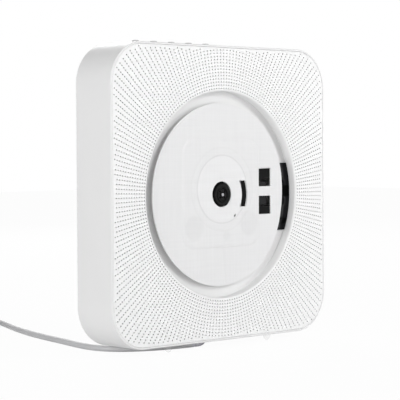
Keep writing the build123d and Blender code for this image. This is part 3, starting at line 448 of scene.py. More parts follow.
def hole_in_polygon(vertices, faces, add, polygon, hx, hz, angle):
    """A blind round hole in a convex cell: a fan of faces to its edge, a wall, and a closed end."""
    ring = []
    for i in range(HOLE_SIDES):
        turn = angle + 2 * math.pi * i / HOLE_SIDES
        ring.append((hx + HOLE_RADIUS * math.cos(turn), hz + HOLE_RADIUS * math.sin(turn)))
    outer = add(polygon)
    mouth = add(ring)
    bottom = add(ring, HOLE_DEPTH)

    def heading(v):
        """The direction of a point from the middle of the hole."""
        return math.atan2(vertices[v].z - DISC_Z - hz, vertices[v].x - hx)

    ordered = sorted(outer, key=heading)
    inner = sorted(mouth, key=heading)
    # Walk round both rings together by heading.
    i = 0
    j = 0
    n = len(ordered)
    m = len(inner)
    while i < n or j < m:
        outer_next = heading(ordered[(i + 1) % n]) + (2 * math.pi if i + 1 >= n else 0)
        inner_next = heading(inner[(j + 1) % m]) + (2 * math.pi if j + 1 >= m else 0)
        if j >= m or (i < n and outer_next <= inner_next):
            faces.append((ordered[i % n], ordered[(i + 1) % n], inner[j % m]))
            i += 1
        else:
            faces.append((ordered[i % n], inner[(j + 1) % m], inner[j % m]))
            j += 1
    faces += band(mouth[0], bottom[0], HOLE_SIDES)
    faces.append(tuple(bottom))


def make_front_panel():
    """The perforated face, the rim and wall of the recess, and the rounded outer edge."""
    vertices, faces = perforated_panel()
    first = FIRST_RING - RING_PITCH / 2
    start = math.degrees(math.asin((WELL_RADIUS + RIM_ROUND - first) / RIM_ROUND))
    profile = arc((WELL_RADIUS + RIM_ROUND, RIM_ROUND), RIM_ROUND, 270 - start, 180, RIM_STEPS)
    profile += [(WELL_RADIUS, WELL_DEPTH / 2), (WELL_RADIUS, WELL_DEPTH)]
    more, more_faces = lathe(profile, 2 * RAYS)
    base = len(vertices)
    vertices += more
    faces += [tuple(base + v for v in face) for face in more_faces]
    shift = BODY_MID_Z - DISC_Z
    starts = []
    roll = PANEL_EDGE_ROUND * ROLL_SHARE
    for inset, depth in ((PANEL_EDGE_ROUND, 0.0), (roll, roll), (0.0, PANEL_EDGE_ROUND),
                         (0.0, PANEL_EDGE_BACK)):
        starts.append(len(vertices))
        outline = rounded_square(PANEL_HALF - inset, PANEL_CORNER - inset, CORNER_STEPS)
        vertices += [at(x, z + shift, depth) for x, z in outline]
    for one, two in zip(starts, starts[1:]):
        faces += band(one, two, len(outline))
    panel = mesh_object("front_grille", vertices, faces, angle=40.0)
    dress(panel, "panel_white")
    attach(panel, "housing")
    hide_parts("front_panel")
    return panel


# ---- paper disc -----------------------------------------------------------------------------------
PAPER_RADIUS = 60.0 * MM
PAPER_HOLE = 8.45 * MM
PAPER_LIFT = 0.3 * MM
# The trimmed stretch of the edge: its middle and width in degrees, and how much is off.
EDGE_TRIM = (-6.0, 29.0, 2.5 * MM)
PAPER_DEPTH = 3.2 * MM
PAPER_THICKNESS = 0.8 * MM
# The curved slot: inner and outer radius, top and bottom.
ARC_SLOT = (18.5 * MM, 24.0 * MM, 9.0 * MM, -8.3 * MM)
SQUARE_X = (35.0 * MM, 46.5 * MM)
SQUARE_ZS = ((4.7 * MM, 17.0 * MM), (-14.0 * MM, -1.7 * MM))
# What is left of a square's corner inside its sharp outline.
CORNER_SLIVER = 0.05 * MM
NICK_LONG = 1.2 * MM
NICK_WIDE = 0.5 * MM
NICK_TURN = 50.0
SQUARE_CORNER = 0.7 * MM
# The plate under the card: middle x and z, half width, half height and corner.
PLATE = (0.5 * MM, 1.2 * MM, 34.5 * MM, 35.75 * MM, 10.0 * MM)
# The crease: x and z of its upper end, and how far it goes sideways for its length.
CREASE = (0.8 * MM, -33.5 * MM, 3.0 / 26.0)
# The card's mesh: spacing inside, rows of points at folds, and points round its edges.
PAPER_GRID = 0.7 * MM
EDGE_ROOM = 0.6 * PAPER_GRID
FOLD = 0.6 * MM
CARD_STEPS = 256
CARD_HOLE_STEPS = 64
CARD_RING_STEPS = 120
SLOT_STEPS = 14
PLATE_CORNER_STEPS = 8
SQUARE_CORNER_STEPS = 4
# Relief of the card: height or depth of each form, and the width over which it fades.
PLATE_RISE = (0.45 * MM, 1.4 * MM)
PLATE_GROOVE = (0.12 * MM, 0.8 * MM)
RING_GROOVE = (0.30 * MM, 0.5 * MM)
RING_RISE = (0.12 * MM, 1.5 * MM)
OUTER_GROOVE = (0.14 * MM, 0.8 * MM)
PAD_SINK = (0.25 * MM, 1.6 * MM)
CREASE_SINK = (0.25 * MM, 0.25 * MM)
# The card's slight waves: height, the lengths across and up, and where they start.
WAVE = (0.12 * MM, 17.0 * MM, 23.0 * MM, 0.6, 1.1)


def card_radius(angle):
    """The card's edge, trimmed a little where it passes the arc window."""
    middle, width, trim = EDGE_TRIM
    off = (math.degrees(angle) - middle + 180) % 360 - 180
    return PAPER_RADIUS - trim * bell(off, width)


def card_edge(steps):
    """Points round the card's outer edge."""
    points = []
    for i in range(steps):
        angle = 2 * math.pi * i / steps
        points.append((card_radius(angle) * math.cos(angle), card_radius(angle) * math.sin(angle)))
    return points


def arc_slot_points():
    """The outline of the curved slot: two arcs about the disc's centre, cut level at both ends."""
    inner, outer, top, bottom = ARC_SLOT
    points = []
    for radius, first, last in ((inner, bottom, top), (outer, top, bottom)):
        low = math.asin(first / radius)
        high = math.asin(last / radius)
        for i in range(SLOT_STEPS + 1):
            angle = low + (high - low) * i / SLOT_STEPS
            points.append((radius * math.cos(angle), radius * math.sin(angle)))
    return points


def rounded_box_points(x0, x1, z0, z1, radius):
    """Points round a box with round corners."""
    points = []
    corners = ((x1 - radius, z1 - radius, 0), (x0 + radius, z1 - radius, 90),
               (x0 + radius, z0 + radius, 180), (x1 - radius, z0 + radius, 270))
    for cx, cz, start in corners:
        for i in range(SQUARE_CORNER_STEPS + 1):
            angle = math.radians(start + 90 * i / SQUARE_CORNER_STEPS)
            points.append((cx + radius * math.cos(angle), cz + radius * math.sin(angle)))
    return points


def circle(centre, radius, steps, first=0.5):
    """Points round a circle, the first one a share of a step past +x."""
    points = []
    for i in range(steps):
        turn = 2 * math.pi * (i + first) / steps
        points.append((centre[0] + radius * math.cos(turn), centre[1] + radius * math.sin(turn)))
    return points


def plate_points(grow):
    """The plate's outline, grown all round."""
    middle_x, middle_z, half_x, half_z, corner = PLATE
    points = []
    for quarter, (side_x, side_z) in enumerate(((1, 1), (-1, 1), (-1, -1), (1, -1))):
        for i in range(PLATE_CORNER_STEPS + 1):
            turn = math.pi / 2 * (quarter + i / PLATE_CORNER_STEPS)
            points.append((middle_x + side_x * (half_x - corner) + (corner + grow) * math.cos(turn),
                           middle_z + side_z * (half_z - corner) + (corner + grow) * math.sin(turn)))
    return points


def nick_place(x, z):
    """Where a point lies along and across the nick."""
    turn = math.radians(NICK_TURN)
    dx = x - NICK[0]
    dz = z - NICK[1]
    return dx * math.cos(turn) + dz * math.sin(turn), dz * math.cos(turn) - dx * math.sin(turn)


def nick_points():
    """The outline of the nick."""
    turn = math.radians(NICK_TURN)
    points = []
    for along, across in ((1, 1), (-1, 1), (-1, -1), (1, -1)):
        dx = along * NICK_LONG * math.cos(turn) - across * NICK_WIDE * math.sin(turn)
        dz = along * NICK_LONG * math.sin(turn) + across * NICK_WIDE * math.cos(turn)
        points.append((NICK[0] + dx, NICK[1] + dz))
    return points


def soft_step(value, width):
    """0 below zero, 1 above, smooth over the width."""
    t = min(1.0, max(0.0, value / width + 0.5))
    return t * t * (3 - 2 * t)


def plate_inset(x, z):
    """How far a point lies inside the rounded plate that the card is pressed over."""
    middle_x, middle_z, half_x, half_z, corner = PLATE
    ex = abs(x - middle_x) - (half_x - corner)
    ez = abs(z - middle_z) - (half_z - corner)
    return corner - (math.hypot(max(ex, 0.0), max(ez, 0.0)) + min(0.0, max(ex, ez)))


def bell(value, width):
    """1 at zero, fading to 0 both ways over about twice the width."""
    return math.exp(-(value / width)**2)


def rise(form, value):
    """A form that is as high as its first size where the value is positive."""
    height, width = form
    return height * soft_step(value, width)


def ridge(form, value):
    """A form that is as high as its first size where the value is zero."""
    height, width = form
    return height * bell(value, width)


def paper_relief(x, z):
    """How far the card stands forward: pressed over the deck plate, rings and round pads behind it."""
    inset = plate_inset(x, z)
    relief = rise(PLATE_RISE, inset) - ridge(PLATE_GROOVE, inset)
    ring = math.hypot(x - RING_CENTRE[0], z - RING_CENTRE[1])
    relief += rise(RING_RISE, RING_RADIUS - ring)
    relief -= ridge(RING_GROOVE, ring - RING_RADIUS) + ridge(OUTER_GROOVE, ring - OUTER_RING)
    for cx, cz, radius in CARD_PADS:
        relief -= rise(PAD_SINK, radius - math.hypot(x - cx, z - cz))
    crease_top_x, crease_top_z, slant = CREASE
    if z < crease_top_z:
        relief -= ridge(CREASE_SINK, x - crease_top_x - (crease_top_z - z) * slant)
    height, across, up, start_x, start_z = WAVE
    return relief + height * math.sin(x / across + start_x) * math.sin(z / up + start_z)


def cut_away(x, z):
    """Whether a point lies off the card: past its edge, or in its hole, slot, squares or nick."""
    radius = math.hypot(x, z)
    if radius > card_radius(math.atan2(z, x)) or math.hypot(x, z - PAPER_LIFT) < PAPER_HOLE:
        return True
    inner, outer, top, bottom = ARC_SLOT
    if inner < radius < outer and bottom < z < top and x > 0:
        return True
    left, right = SQUARE_X
    for low, high in SQUARE_ZS:
        if left < x < right and low < z < high:
            return min(x - left, right - x) + min(z - low, high - z) > CORNER_SLIVER
    along, across = nick_place(x, z)
    return abs(along) < NICK_LONG and abs(across) < NICK_WIDE


def make_paper_disc():
    """The card: its outlines and folds as fixed edges, and a grid of points between them."""
    loops = [card_edge(CARD_STEPS), circle((0.0, PAPER_LIFT), PAPER_HOLE, CARD_HOLE_STEPS, 0.0)]
    loops += [arc_slot_points()]
    loops += [rounded_box_points(*SQUARE_X, *zs, SQUARE_CORNER) for zs in SQUARE_ZS]
    loops += [nick_points()]
    for ring in (RING_RADIUS, OUTER_RING):
        for radius in (ring - FOLD, ring, ring + FOLD):
            loops.append(circle(RING_CENTRE, radius, CARD_RING_STEPS))
    for grow in (-2 * FOLD, -FOLD, 0.0, FOLD):
        loops.append(plate_points(grow))
    points = []
    edges = []
    for loop in loops:
        base = len(points)
        points += loop
        edges += [(base + i, base + (i + 1) % len(loop)) for i in range(len(loop))]
    count = int(PAPER_RADIUS / PAPER_GRID)
    for i in range(-count, count + 1):
        for j in range(-count, count + 1):
            x = (i + 0.5 * (j % 2)) * PAPER_GRID
            z = j * PAPER_GRID
            if math.hypot(x, z) < card_radius(math.atan2(z, x)) - EDGE_ROOM:
                points.append((x, z))
    found = delaunay_2d_cdt([Vector(p) for p in points], edges, [], 0, MERGE_DISTANCE)
    flat, triangles = found[0], found[2]
    kept = []
    for triangle in triangles:
        mx = sum(flat[v].x for v in triangle) / 3
        mz = sum(flat[v].y for v in triangle) / 3
        if not cut_away(mx, mz):
            kept.append(tuple(triangle))
    front = [at(p.x, p.y, PAPER_DEPTH - paper_relief(p.x, p.y)) for p in flat]
    back = [at(p.x, p.y, PAPER_DEPTH + PAPER_THICKNESS) for p in flat]
    count = len(flat)
    faces = list(kept)
    faces += [tuple(count + v for v in reversed(triangle)) for triangle in kept]
    directed = {}
    for triangle in kept:
        for a, b in zip(triangle, triangle[1:] + triangle[:1]):
            directed[(a, b)] = True
    for a, b in directed:
        if (b, a) not in directed:
            faces.append((b, a, count + a, count + b))
    disc = mesh_object("paper_card", front + back, faces, angle=50.0)
    dress(disc, "paper_white")
    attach(disc, "paper")
    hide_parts("paper_disc")
    return disc


# ---- hub: raised ring, dimples and the noses of the sprung balls ---------------------------------------
HUB_TOP = 1.7 * MM
HUB_RADIUS = 7.6 * MM
HUB_ROUND = 0.9 * MM
HUB_SEAT = 4.3 * MM
PLATE_RADIUS = 13.0 * MM
PLATE_BACK = 6.1 * MM
SLEEVE_RADIUS = 3.0 * MM
SLEEVE_BACK = 10.4 * MM
HUB_RING = 4.6 * MM
HUB_DIMPLES = 4
DIMPLE_RING = 2.9 * MM
DIMPLE_RADIUS = 0.55 * MM
# Forms of the hub's face: height or depth, and the width over which it fades.
DIMPLE_DEPTH = (0.6 * MM, 0.35 * MM)
DISH = (0.35 * MM, 0.5 * MM)
DISH_EDGE = 4.1 * MM
RAISED_RING = (0.22 * MM, 0.45 * MM)
SHAFT_RING = (0.25 * MM, 0.4 * MM)
SHAFT_RING_RADIUS = 1.5 * MM
SHAFT_HOLE = 1.0 * MM
HUB_STEP = 0.3 * MM
HUB_ROWS = 44
LOBE_COUNT = 3
LOBE_START = 60.0
LOBE_REACH = 0.65 * MM
LOBE_WIDTH = 12.0
LOBE_FROM = 6.0 * MM
HUB_STEPS = 120


def hub_depth(radius, angle):
    """Depth of the hub's face: a dished middle, a raised ring, dimples, and a rolled edge."""
    depth = HUB_TOP + rise(DISH, DISH_EDGE - radius)
    depth -= ridge(RAISED_RING, radius - HUB_RING)
    x = radius * math.cos(angle)
    z = radius * math.sin(angle)
    for i in range(HUB_DIMPLES):
        turn = 2 * math.pi * (i + 0.5) / HUB_DIMPLES
        away = math.hypot(x - DIMPLE_RING * math.cos(turn), z - DIMPLE_RING * math.sin(turn))
        depth += rise(DIMPLE_DEPTH, DIMPLE_RADIUS - away)
    depth -= ridge(SHAFT_RING, radius - SHAFT_RING_RADIUS)
    shoulder = radius - (HUB_RADIUS - HUB_ROUND)
    if shoulder > 0:
        depth += HUB_ROUND - math.sqrt(max(0.0, HUB_ROUND**2 - shoulder**2))
    return depth


def lobed(radius, angle):
    """The hub's edge swells over each sprung ball."""
    if radius <= LOBE_FROM or radius > HUB_RADIUS + HUB_STEP / 2:
        return radius
    spacing = 360.0 / LOBE_COUNT
    off = (math.degrees(angle) - LOBE_START + spacing / 2) % spacing - spacing / 2
    swell = LOBE_REACH * bell(off, LOBE_WIDTH)
    return radius + swell * (radius - LOBE_FROM) / (HUB_RADIUS - LOBE_FROM)


def make_hub():
    """The hub with its plate and its sleeve, turned about the shaft's hole."""
    vertices = []
    faces = []
    turns = [2 * math.pi * k / HUB_STEPS for k in range(HUB_STEPS)]
    rows = []
    for i in range(HUB_ROWS + 1):
        radius = SHAFT_HOLE + (HUB_RADIUS - SHAFT_HOLE) * i / HUB_ROWS
        rows.append([(radius, hub_depth(radius, turn)) for turn in turns])
    for radius, depth in (
        (HUB_RADIUS, HUB_SEAT - HUB_STEP),
        (HUB_RADIUS + HUB_STEP, HUB_SEAT),
        (PLATE_RADIUS - HUB_STEP, HUB_SEAT),
        (PLATE_RADIUS, HUB_SEAT + HUB_STEP),
        (PLATE_RADIUS, PLATE_BACK),
        (SLEEVE_RADIUS, PLATE_BACK),
        (SLEEVE_RADIUS, SLEEVE_BACK),
        (SHAFT_HOLE, SLEEVE_BACK),
    ):
        rows.append([(radius, depth)] * HUB_STEPS)
    for row in rows:
        for turn, (radius, depth) in zip(turns, row):
            wide = lobed(radius, turn)
            vertices.append(at(wide * math.cos(turn), wide * math.sin(turn), depth))
    for i in range(len(rows)):
        faces += band(i * HUB_STEPS, (i + 1) % len(rows) * HUB_STEPS, HUB_STEPS)
    hub = mesh_object("hub", vertices, faces, angle=40.0)
    dress(hub, "hub_black")
    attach(hub, "turntable")
    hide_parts("turntable")
    return hub


# ---- arc window: smoked cover that stands on the recess floor ------------------------------------------
WINDOW_INNER = 57.6 * MM
WINDOW_OUTER = WELL_RADIUS - 0.05 * MM
WINDOW_TOP = 20.3 * MM
WINDOW_BOTTOM = -25.5 * MM
WINDOW_FACE = 5.7 * MM
WINDOW_BACK = 6.83 * MM
WINDOW_ROUND = 0.35 * MM
WINDOW_STEPS = 48
# The darker panes, each from one height to another, and how deep they lie.
WINDOW_PANES = ((-2.6 * MM, 5.3 * MM), (-21.5 * MM, -17.6 * MM))
PANE_SINK = 0.15 * MM
# The notch that leaves room for the lens at the end of its travel: its radius and half its height.
LENS_NOTCH = (61.4 * MM, 9.0 * MM)


def window_inner(z):
    """The inner edge, cut back where the lens stands at the end of its travel."""
    notch_radius, notch_half = LENS_NOTCH
    return notch_radius if abs(z) < notch_half else WINDOW_INNER


def in_pane(z):
    """Whether a height lies in one of the panes."""
    return any(low < z < high for low, high in WINDOW_PANES)


def make_window():
    """A ring sector with level ends and a rolled edge all round. The two panes lie a little deeper."""
    loops = []
    roll = WINDOW_ROUND * ROLL_SHARE
    for inset, depth in ((0.0, WINDOW_BACK), (0.0, WINDOW_FACE + WINDOW_ROUND), (roll, WINDOW_FACE + roll),
                         (WINDOW_ROUND, WINDOW_FACE)):
        loop = []
        for side in (0, 1):
            for i in range(WINDOW_STEPS + 1):
                share = i / WINDOW_STEPS if side == 0 else 1 - i / WINDOW_STEPS
                z = WINDOW_BOTTOM + inset + (WINDOW_TOP - WINDOW_BOTTOM - 2 * inset) * share
                radius = WINDOW_OUTER - inset if side == 0 else window_inner(z) + inset
                loop.append((math.sqrt(radius**2 - z**2), z, depth))
        loops.append(loop)
    vertices = [at(*point) for loop in loops for point in loop]
    faces = []
    count = len(loops[0])
    for row in range(len(loops) - 1):
        faces += band(row * count, (row + 1) * count, count)
    top = (len(loops) - 1) * count
    for i in range(WINDOW_STEPS):
        faces.append((top + i, top + i + 1, top + count - 2 - i, top + count - 1 - i))
        faces.append((i, count - 1 - i, count - 2 - i, i + 1))
    for i, (x, z, depth) in enumerate(loops[-1]):
        if in_pane(z):
            vertices[top + i] = at(x, z, depth + PANE_SINK)
    window = mesh_object("window_cover", vertices, faces, angle=30.0)
    dress(window, "window_black")
    window.data.materials.append(pane_black)
    face_limit = FRONT_Y + WINDOW_FACE + 2 * PANE_SINK
    for polygon in window.data.polygons:
        if polygon.center.y < face_limit and in_pane(polygon.center.z - DISC_Z):
            polygon.material_index = 1
    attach(window, "housing")
    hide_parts("display_window")
    return window


# ---- gland: ribbed elbow from the underside into the cord -----------------------------------------------
# Points down its middle, x and z, and its radius at each, in millimetres.
GLAND_PATH = ((-6.6, 5.2), (-7.3, 4.2), (-8.4, 2.9), (-10.0, 2.35), (-12.5, 2.22), (-18.0, 2.12))
GLAND_RADII = (2.2, 2.2, 2.2, 2.16, 2.14, 2.06)
GLAND_Y = -3.0 * MM
GLAND_RIBS = 9
RIBS_FROM = 0.35  # share of the length that stays plain
RIB_GAP = 0.55  # cosine above which a groove lies between two ribs
RIB_DEPTH = 0.22 * MM
FLOOR_ROOM = 0.02 * MM
GLAND_LOOK = 0.01  # share of the length looked ahead and back for its direction
GLAND_SIDES = 24
GLAND_ROWS = 90


def along_gland(values, share):
    """A value at a share of the way, eased a little at each listed one."""
    place = share * (len(values) - 1)
    i = min(int(place), len(values) - 2)
    part = place - i
    eased = (part * part * (3 - 2 * part) + part) / 2
    return values[i] + (values[i + 1] - values[i]) * eased


def make_gland():
    """An elbow from the underside to the cord, ribbed where it bends with the cord."""
    xs = [point[0] for point in GLAND_PATH]
    zs = [point[1] for point in GLAND_PATH]
    vertices = []
    faces = []
    side = Vector((0.0, 1.0, 0.0))
    for row in range(GLAND_ROWS + 1):
        share = row / GLAND_ROWS
        near = max(0.0, share - GLAND_LOOK)
        far = min(1.0, share + GLAND_LOOK)
        x = along_gland(xs, share) * MM
        z = along_gland(zs, share) * MM
        run_x = along_gland(xs, far) - along_gland(xs, near)
        run_z = along_gland(zs, far) - along_gland(zs, near)
        up = side.cross(Vector((run_x, 0.0, run_z)).normalized())
        radius = along_gland(GLAND_RADII, share) * MM
        if share > RIBS_FROM and math.cos(share * GLAND_RIBS * 2 * math.pi) > RIB_GAP:
            radius -= RIB_DEPTH
        if share > 0.5:
            radius = min(radius, z - FLOOR_ROOM)
        for k in range(GLAND_SIDES):
            turn = 2 * math.pi * k / GLAND_SIDES
            point = Vector((x, GLAND_Y, z)) + radius * (math.cos(turn) * side + math.sin(turn) * up)
            vertices.append(point)
    for row in range(GLAND_ROWS):
        faces += band(row * GLAND_SIDES, (row + 1) * GLAND_SIDES, GLAND_SIDES)
    faces.append(tuple(range(GLAND_SIDES)))
    faces.append(tuple(GLAND_ROWS * GLAND_SIDES + k for k in range(GLAND_SIDES)))
    gland = mesh_object("gland_elbow", vertices, faces, angle=50.0)
    dress(gland, "gland_grey")
    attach(gland, "housing")
    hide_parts("cord_gland")
    return gland


# ---- rear screws: domed heads with a cross, in the counterbores of the cover ----------------------------
HEAD_DOME = 0.45 * MM
HEAD_BACK = 0.2 * MM
CROSS_LONG = 1.5 * MM
CROSS_WIDE = 0.42 * MM
CROSS_DEEP = 0.75 * MM
CROSS_TURNS = (12.0, 40.0, 63.0, 28.0)  # degrees, as each screw happened to stop
HEAD_GRID = 26
HEAD_SIDES = 4 * HEAD_GRID
STEM_RADIUS = 1.2 * MM
HEAD_RADIUS = 2.6 * MM
HEAD_HEIGHT = 1.6 * MM


def in_cross(radius, angle):
    """Whether a place on a head lies in its cross, the angle taken from one of the arms."""
    along = abs(radius * math.cos(angle))
    across = abs(radius * math.sin(angle))
    return min(along, across) < CROSS_WIDE and max(along, across) < CROSS_LONG


def make_rear_screws():
    """Each head is a round patch whose face carries the cross, closed by its side and its stem."""
    low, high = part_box("cover_screws")
    xs = (low[0] + HEAD_RADIUS, high[0] - HEAD_RADIUS)
    zs = (low[2] + HEAD_RADIUS, high[2] - HEAD_RADIUS)
    face_y = high[1] - HEAD_BACK
    seat_y = high[1] - HEAD_HEIGHT
    vertices = []
    faces = []
    for (cx, cz), degrees in zip([(x, z) for x in xs for z in zs], CROSS_TURNS):
        turn = math.radians(degrees)
        base = len(vertices)
        vertices.append((cx, face_y - CROSS_DEEP, cz))
        rings = []
        for i in range(1, HEAD_GRID + 1):
            radius = HEAD_RADIUS * i / HEAD_GRID
            dome_y = face_y - HEAD_DOME * (radius / HEAD_RADIUS)**2
            rings.append((radius, dome_y, face_y - CROSS_DEEP))
        for radius, y in ((HEAD_RADIUS, seat_y), (STEM_RADIUS, seat_y), (STEM_RADIUS, low[1])):
            rings.append((radius, y, y))
        for radius, plain_y, cross_y in rings:
            for k in range(HEAD_SIDES):
                angle = 2 * math.pi * k / HEAD_SIDES
                y = cross_y if in_cross(radius, angle - turn) else plain_y
                vertices.append((cx + radius * math.cos(angle), y, cz + radius * math.sin(angle)))
        first = base + 1
        for k in range(HEAD_SIDES):
            faces.append((base, first + k, first + (k + 1) % HEAD_SIDES))
        for row in range(len(rings) - 1):
            faces += band(first + row * HEAD_SIDES, first + (row + 1) * HEAD_SIDES, HEAD_SIDES)
        last = first + (len(rings) - 1) * HEAD_SIDES
        faces.append(tuple(last + k for k in range(HEAD_SIDES)))
    screws = mesh_object("rear_screws", vertices, faces, angle=35.0)
    dress(screws, "steel_plated")
    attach(screws, "housing")
    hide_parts("cover_screws")
    return screws


# ---- feet: clear domed pads -----------------------------------------------------------------------------
FOOT_RADIUS = 3.5 * MM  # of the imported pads, which gives their middles
# The dome's radius and height, from its top down, in millimetres.
FOOT_PROFILE = ((2.6, 4.5), (2.6, 3.9), (2.4, 2.6), (2.0, 1.5), (1.5, 0.7), (0.9, 0.2), (0.3, 0.0))
FOOT_SIDES = 32


def make_feet():
    """A clear dome under each corner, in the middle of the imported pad."""
    low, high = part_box("feet")
    vertices = []
    faces = []
    for x in (low[0] + FOOT_RADIUS, high[0] - FOOT_RADIUS):
        for y in (low[1] + FOOT_RADIUS, high[1] - FOOT_RADIUS):
            base = len(vertices)
            for r, z in FOOT_PROFILE:
                for k in range(FOOT_SIDES):
                    turn = 2 * math.pi * k / FOOT_SIDES
                    vertices.append((x + r * MM * math.cos(turn), y + r * MM * math.sin(turn), z * MM))
            last = base + (len(FOOT_PROFILE) - 1) * FOOT_SIDES
            for one in range(base, last, FOOT_SIDES):
                faces += band(one, one + FOOT_SIDES, FOOT_SIDES)
            faces.append(tuple(base + k for k in range(FOOT_SIDES)))
            faces.append(tuple(last + k for k in range(FOOT_SIDES)))
    pads = mesh_object("clear_pads", vertices, faces, angle=50.0)
    dress(pads, "foot_clear")
    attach(pads, "housing")
    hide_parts("feet")
    return pads


# ---- cord: one smooth line through the route, the coil and the tail -----------------------------------
# Places are in millimetres here.
CORD_RADIUS = 2.0
COIL_CENTRE = (-46.0, 240.0)
# The turns of the coil in the order they are wound: radius and layer.
COIL_SLOTS = ((27, 0), (23, 0), (19, 0), (19, 1), (19, 2), (23, 2), (27, 2), (27, 1))
COIL_BOTTOM = 2.6
LAYER = 4.0
WOUND = 2685.0  # degrees in all
STEPS_PER_TURN = 16
TURN = 2350.0 / 7  # degrees wound in one place of the coil's section
SHIFT = 24.0  # degrees taken to move to the next place
ROUTE = ((-18.0, -3.0), (-32.0, -2.0), (-50.0, 3.0), (-66.0, 12.0), (-73.0, 27.0), (-72.0, 46.0),
         (-66.0, 72.0), (-61.0, 98.0), (-54.0, 126.0), (-45.0, 153.0), (-33.0, 183.0), (-22.5, 211.0))
TAIL = ((-75.2, 235.0, 6.2), (-74.6, 225.0, 4.9), (-73.0, 218.0, 4.0), (-73.0, 214.0, 4.0))


def coil_points():
    """Control points of the turns: each lies in its place of the section and steps to the next."""
    polygon = math.radians(360.0 / STEPS_PER_TURN)
    swell = 1 / (0.75 + 0.25 * math.cos(polygon))
    points = []
    for i in range(int(WOUND / (360.0 / STEPS_PER_TURN)) + 1):
        wound = i * 360.0 / STEPS_PER_TURN
        slot = min(int(wound / TURN), len(COIL_SLOTS) - 1)
        radius, layer = COIL_SLOTS[slot]
        into = wound - slot * TURN
        if slot > 0 and into < SHIFT:
            before = COIL_SLOTS[slot - 1]
            share = into / SHIFT
            radius = before[0] + (radius - before[0]) * share
            layer = before[1] + (layer - before[1]) * share
        angle = math.radians(wound)
        points.append((COIL_CENTRE[0] + radius * swell * math.cos(angle),
                       COIL_CENTRE[1] + radius * swell * math.sin(angle), COIL_BOTTOM + layer * LAYER))
    return points


def make_cord(gland):
    """The cord from the gland through its route and its coil to the plug."""
    points = [(x, y, CORD_RADIUS) for x, y in ROUTE]
    points += coil_points()
    points += list(TAIL)
    data = bpy.data.curves.new("cord", "CURVE")
    data.dimensions = "3D"
    spline = data.splines.new("NURBS")
    spline.points.add(len(points) - 1)
    for point, (x, y, z) in zip(spline.points, points):
        point.co = (x * MM, y * MM, z * MM, 1.0)
    spline.order_u = 3
    spline.use_endpoint_u = True
    data.resolution_u = 6
    data.bevel_depth = CORD_RADIUS * MM
    data.bevel_resolution = 5
    data.use_fill_caps = True
    cord = bpy.data.objects.new("cord", data)
    bpy.context.scene.collection.objects.link(cord)
    cord.data.materials.append(finish["cord_grey"])
    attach(cord, "housing")
    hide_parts("power_cord", "cord_coil", "cord_tail")
    return cord


# ---- camera, light and floor --------------------------------------------------------------------------
# The camera's turns are in radians and its lens in millimetres on a sensor 36 mm wide.
CAMERA_PLACE = (-713.07 * MM, -755.13 * MM, 132.07 * MM)
CAMERA_YAW = 0.752492
CAMERA_PITCH = -0.034483
CAMERA_ROLL = -0.005878
CAMERA_LENS = 141.07
SENSOR = 36.0
WORLD_LIGHT = 0.3
FLOOR_WHITE = 0.965
FLOOR_HALF = 3.0
FLOOR_COLOUR = (0.80, 0.80, 0.80, 1.0)
WHITE = (1.0, 1.0, 1.0, 1.0)
# Name, place, size and power of each lamp. All point at the middle of the disc.
LIGHTS = (
    ("key", (0.55, -1.05, 0.72), 0.5, 6.4),
    ("left_low", (-1.1, -0.35, 0.02), 0.5, 9.4),
    ("left_front", (-0.95, -0.8, 0.35), 0.6, 1.7),
    ("right_low", (0.9, -0.9, 0.05), 0.4, 4.4),
    ("back", (0.7, 1.15, 0.75), 0.6, 7.0),
)


def make_camera():
    """The camera in front of the player, a little to its left."""
    data = bpy.data.cameras.new("camera")
    data.lens = CAMERA_LENS
    data.sensor_width = SENSOR
    data.clip_start = 0.01
    camera = bpy.data.objects.new("camera", data)
    bpy.context.scene.collection.objects.link(camera)
    level = math.cos(CAMERA_PITCH)
    look = Vector((math.sin(CAMERA_YAW) * level, math.cos(CAMERA_YAW) * level, math.sin(CAMERA_PITCH)))
    right = look.cross(Vector((0, 0, 1))).normalized()
    up = right.cross(look).normalized()
    rolled_right = math.cos(CAMERA_ROLL) * right + math.sin(CAMERA_ROLL) * up
    rolled_up = -math.sin(CAMERA_ROLL) * right + math.cos(CAMERA_ROLL) * up
    axes = Matrix((rolled_right, rolled_up, -look)).transposed()
    camera.matrix_world = Matrix.Translation(CAMERA_PLACE) @ axes.to_4x4()
    bpy.context.scene.camera = camera


def area_light(name, place, target, size, power):
    """A round lamp that faces a point."""
    data = bpy.data.lights.new(name, "AREA")
    data.shape = "DISK"
    data.size = size
    data.energy = power
    light = bpy.data.objects.new(name, data)
    bpy.context.scene.collection.objects.link(light)
    light.location = place
    light.rotation_euler = (Vector(target) - Vector(place)).to_track_quat("-Z", "Y").to_euler()
    return light


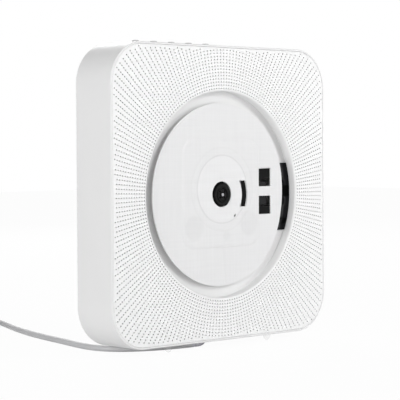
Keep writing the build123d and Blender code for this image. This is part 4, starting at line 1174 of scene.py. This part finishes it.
def seen_rays(nodes, links):
    """1 for what the eye sees straight, in a gloss or through a clear piece, and 0 for lighting."""
    rays = nodes.new("ShaderNodeLightPath").outputs
    glossy = combine(nodes, links, "MAXIMUM", rays["Is Camera Ray"], rays["Is Glossy Ray"])
    return combine(nodes, links, "MAXIMUM", glossy, rays["Is Transmission Ray"])


def make_world():
    """A plain white world that shows at full strength and lights weakly."""
    world = bpy.data.worlds.new("studio")
    bpy.context.scene.world = world
    world.use_nodes = True
    nodes = world.node_tree.nodes
    links = world.node_tree.links
    background = nodes["Background"]
    background.inputs["Color"].default_value = WHITE
    strength = spread_out(nodes, links, seen_rays(nodes, links), WORLD_LIGHT, 1.0)
    links.new(strength, background.inputs["Strength"])


def make_floor():
    """A pale floor that looks almost white and keeps a little of the shadows."""
    corners = [(x, y, 0.0) for x, y in ((-1, -1), (1, -1), (1, 1), (-1, 1))]
    corners = [(x * FLOOR_HALF, y * FLOOR_HALF, z) for x, y, z in corners]
    floor = mesh_object("floor", corners, [(0, 1, 2, 3)], smooth=False)
    mat = bpy.data.materials.new("floor_pale")
    mat.use_nodes = True
    nodes = mat.node_tree.nodes
    links = mat.node_tree.links
    shader = nodes["Principled BSDF"]
    shader.inputs["Base Color"].default_value = FLOOR_COLOUR
    shader.inputs["Roughness"].default_value = 0.9
    glow = nodes.new("ShaderNodeEmission")
    glow.inputs["Color"].default_value = WHITE
    glow.inputs["Strength"].default_value = 1.0
    share = spread_out(nodes, links, seen_rays(nodes, links), 0.0, FLOOR_WHITE)
    both = nodes.new("ShaderNodeMixShader")
    links.new(share, both.inputs["Fac"])
    links.new(shader.outputs["BSDF"], both.inputs[1])
    links.new(glow.outputs["Emission"], both.inputs[2])
    links.new(both.outputs["Shader"], nodes["Material Output"].inputs["Surface"])
    floor.data.materials.append(mat)


make_camera()
make_cord(make_gland())
make_world()
make_floor()
middle = (0.0, FRONT_Y, DISC_Z)
for light_name, place, size, power in LIGHTS:
    area_light(light_name, place, middle, size, power)
make_front_panel()
make_paper_disc()
make_hub()
make_window()
make_feet()
make_rear_screws()

scene = bpy.context.scene
scene.view_settings.view_transform = "Standard"
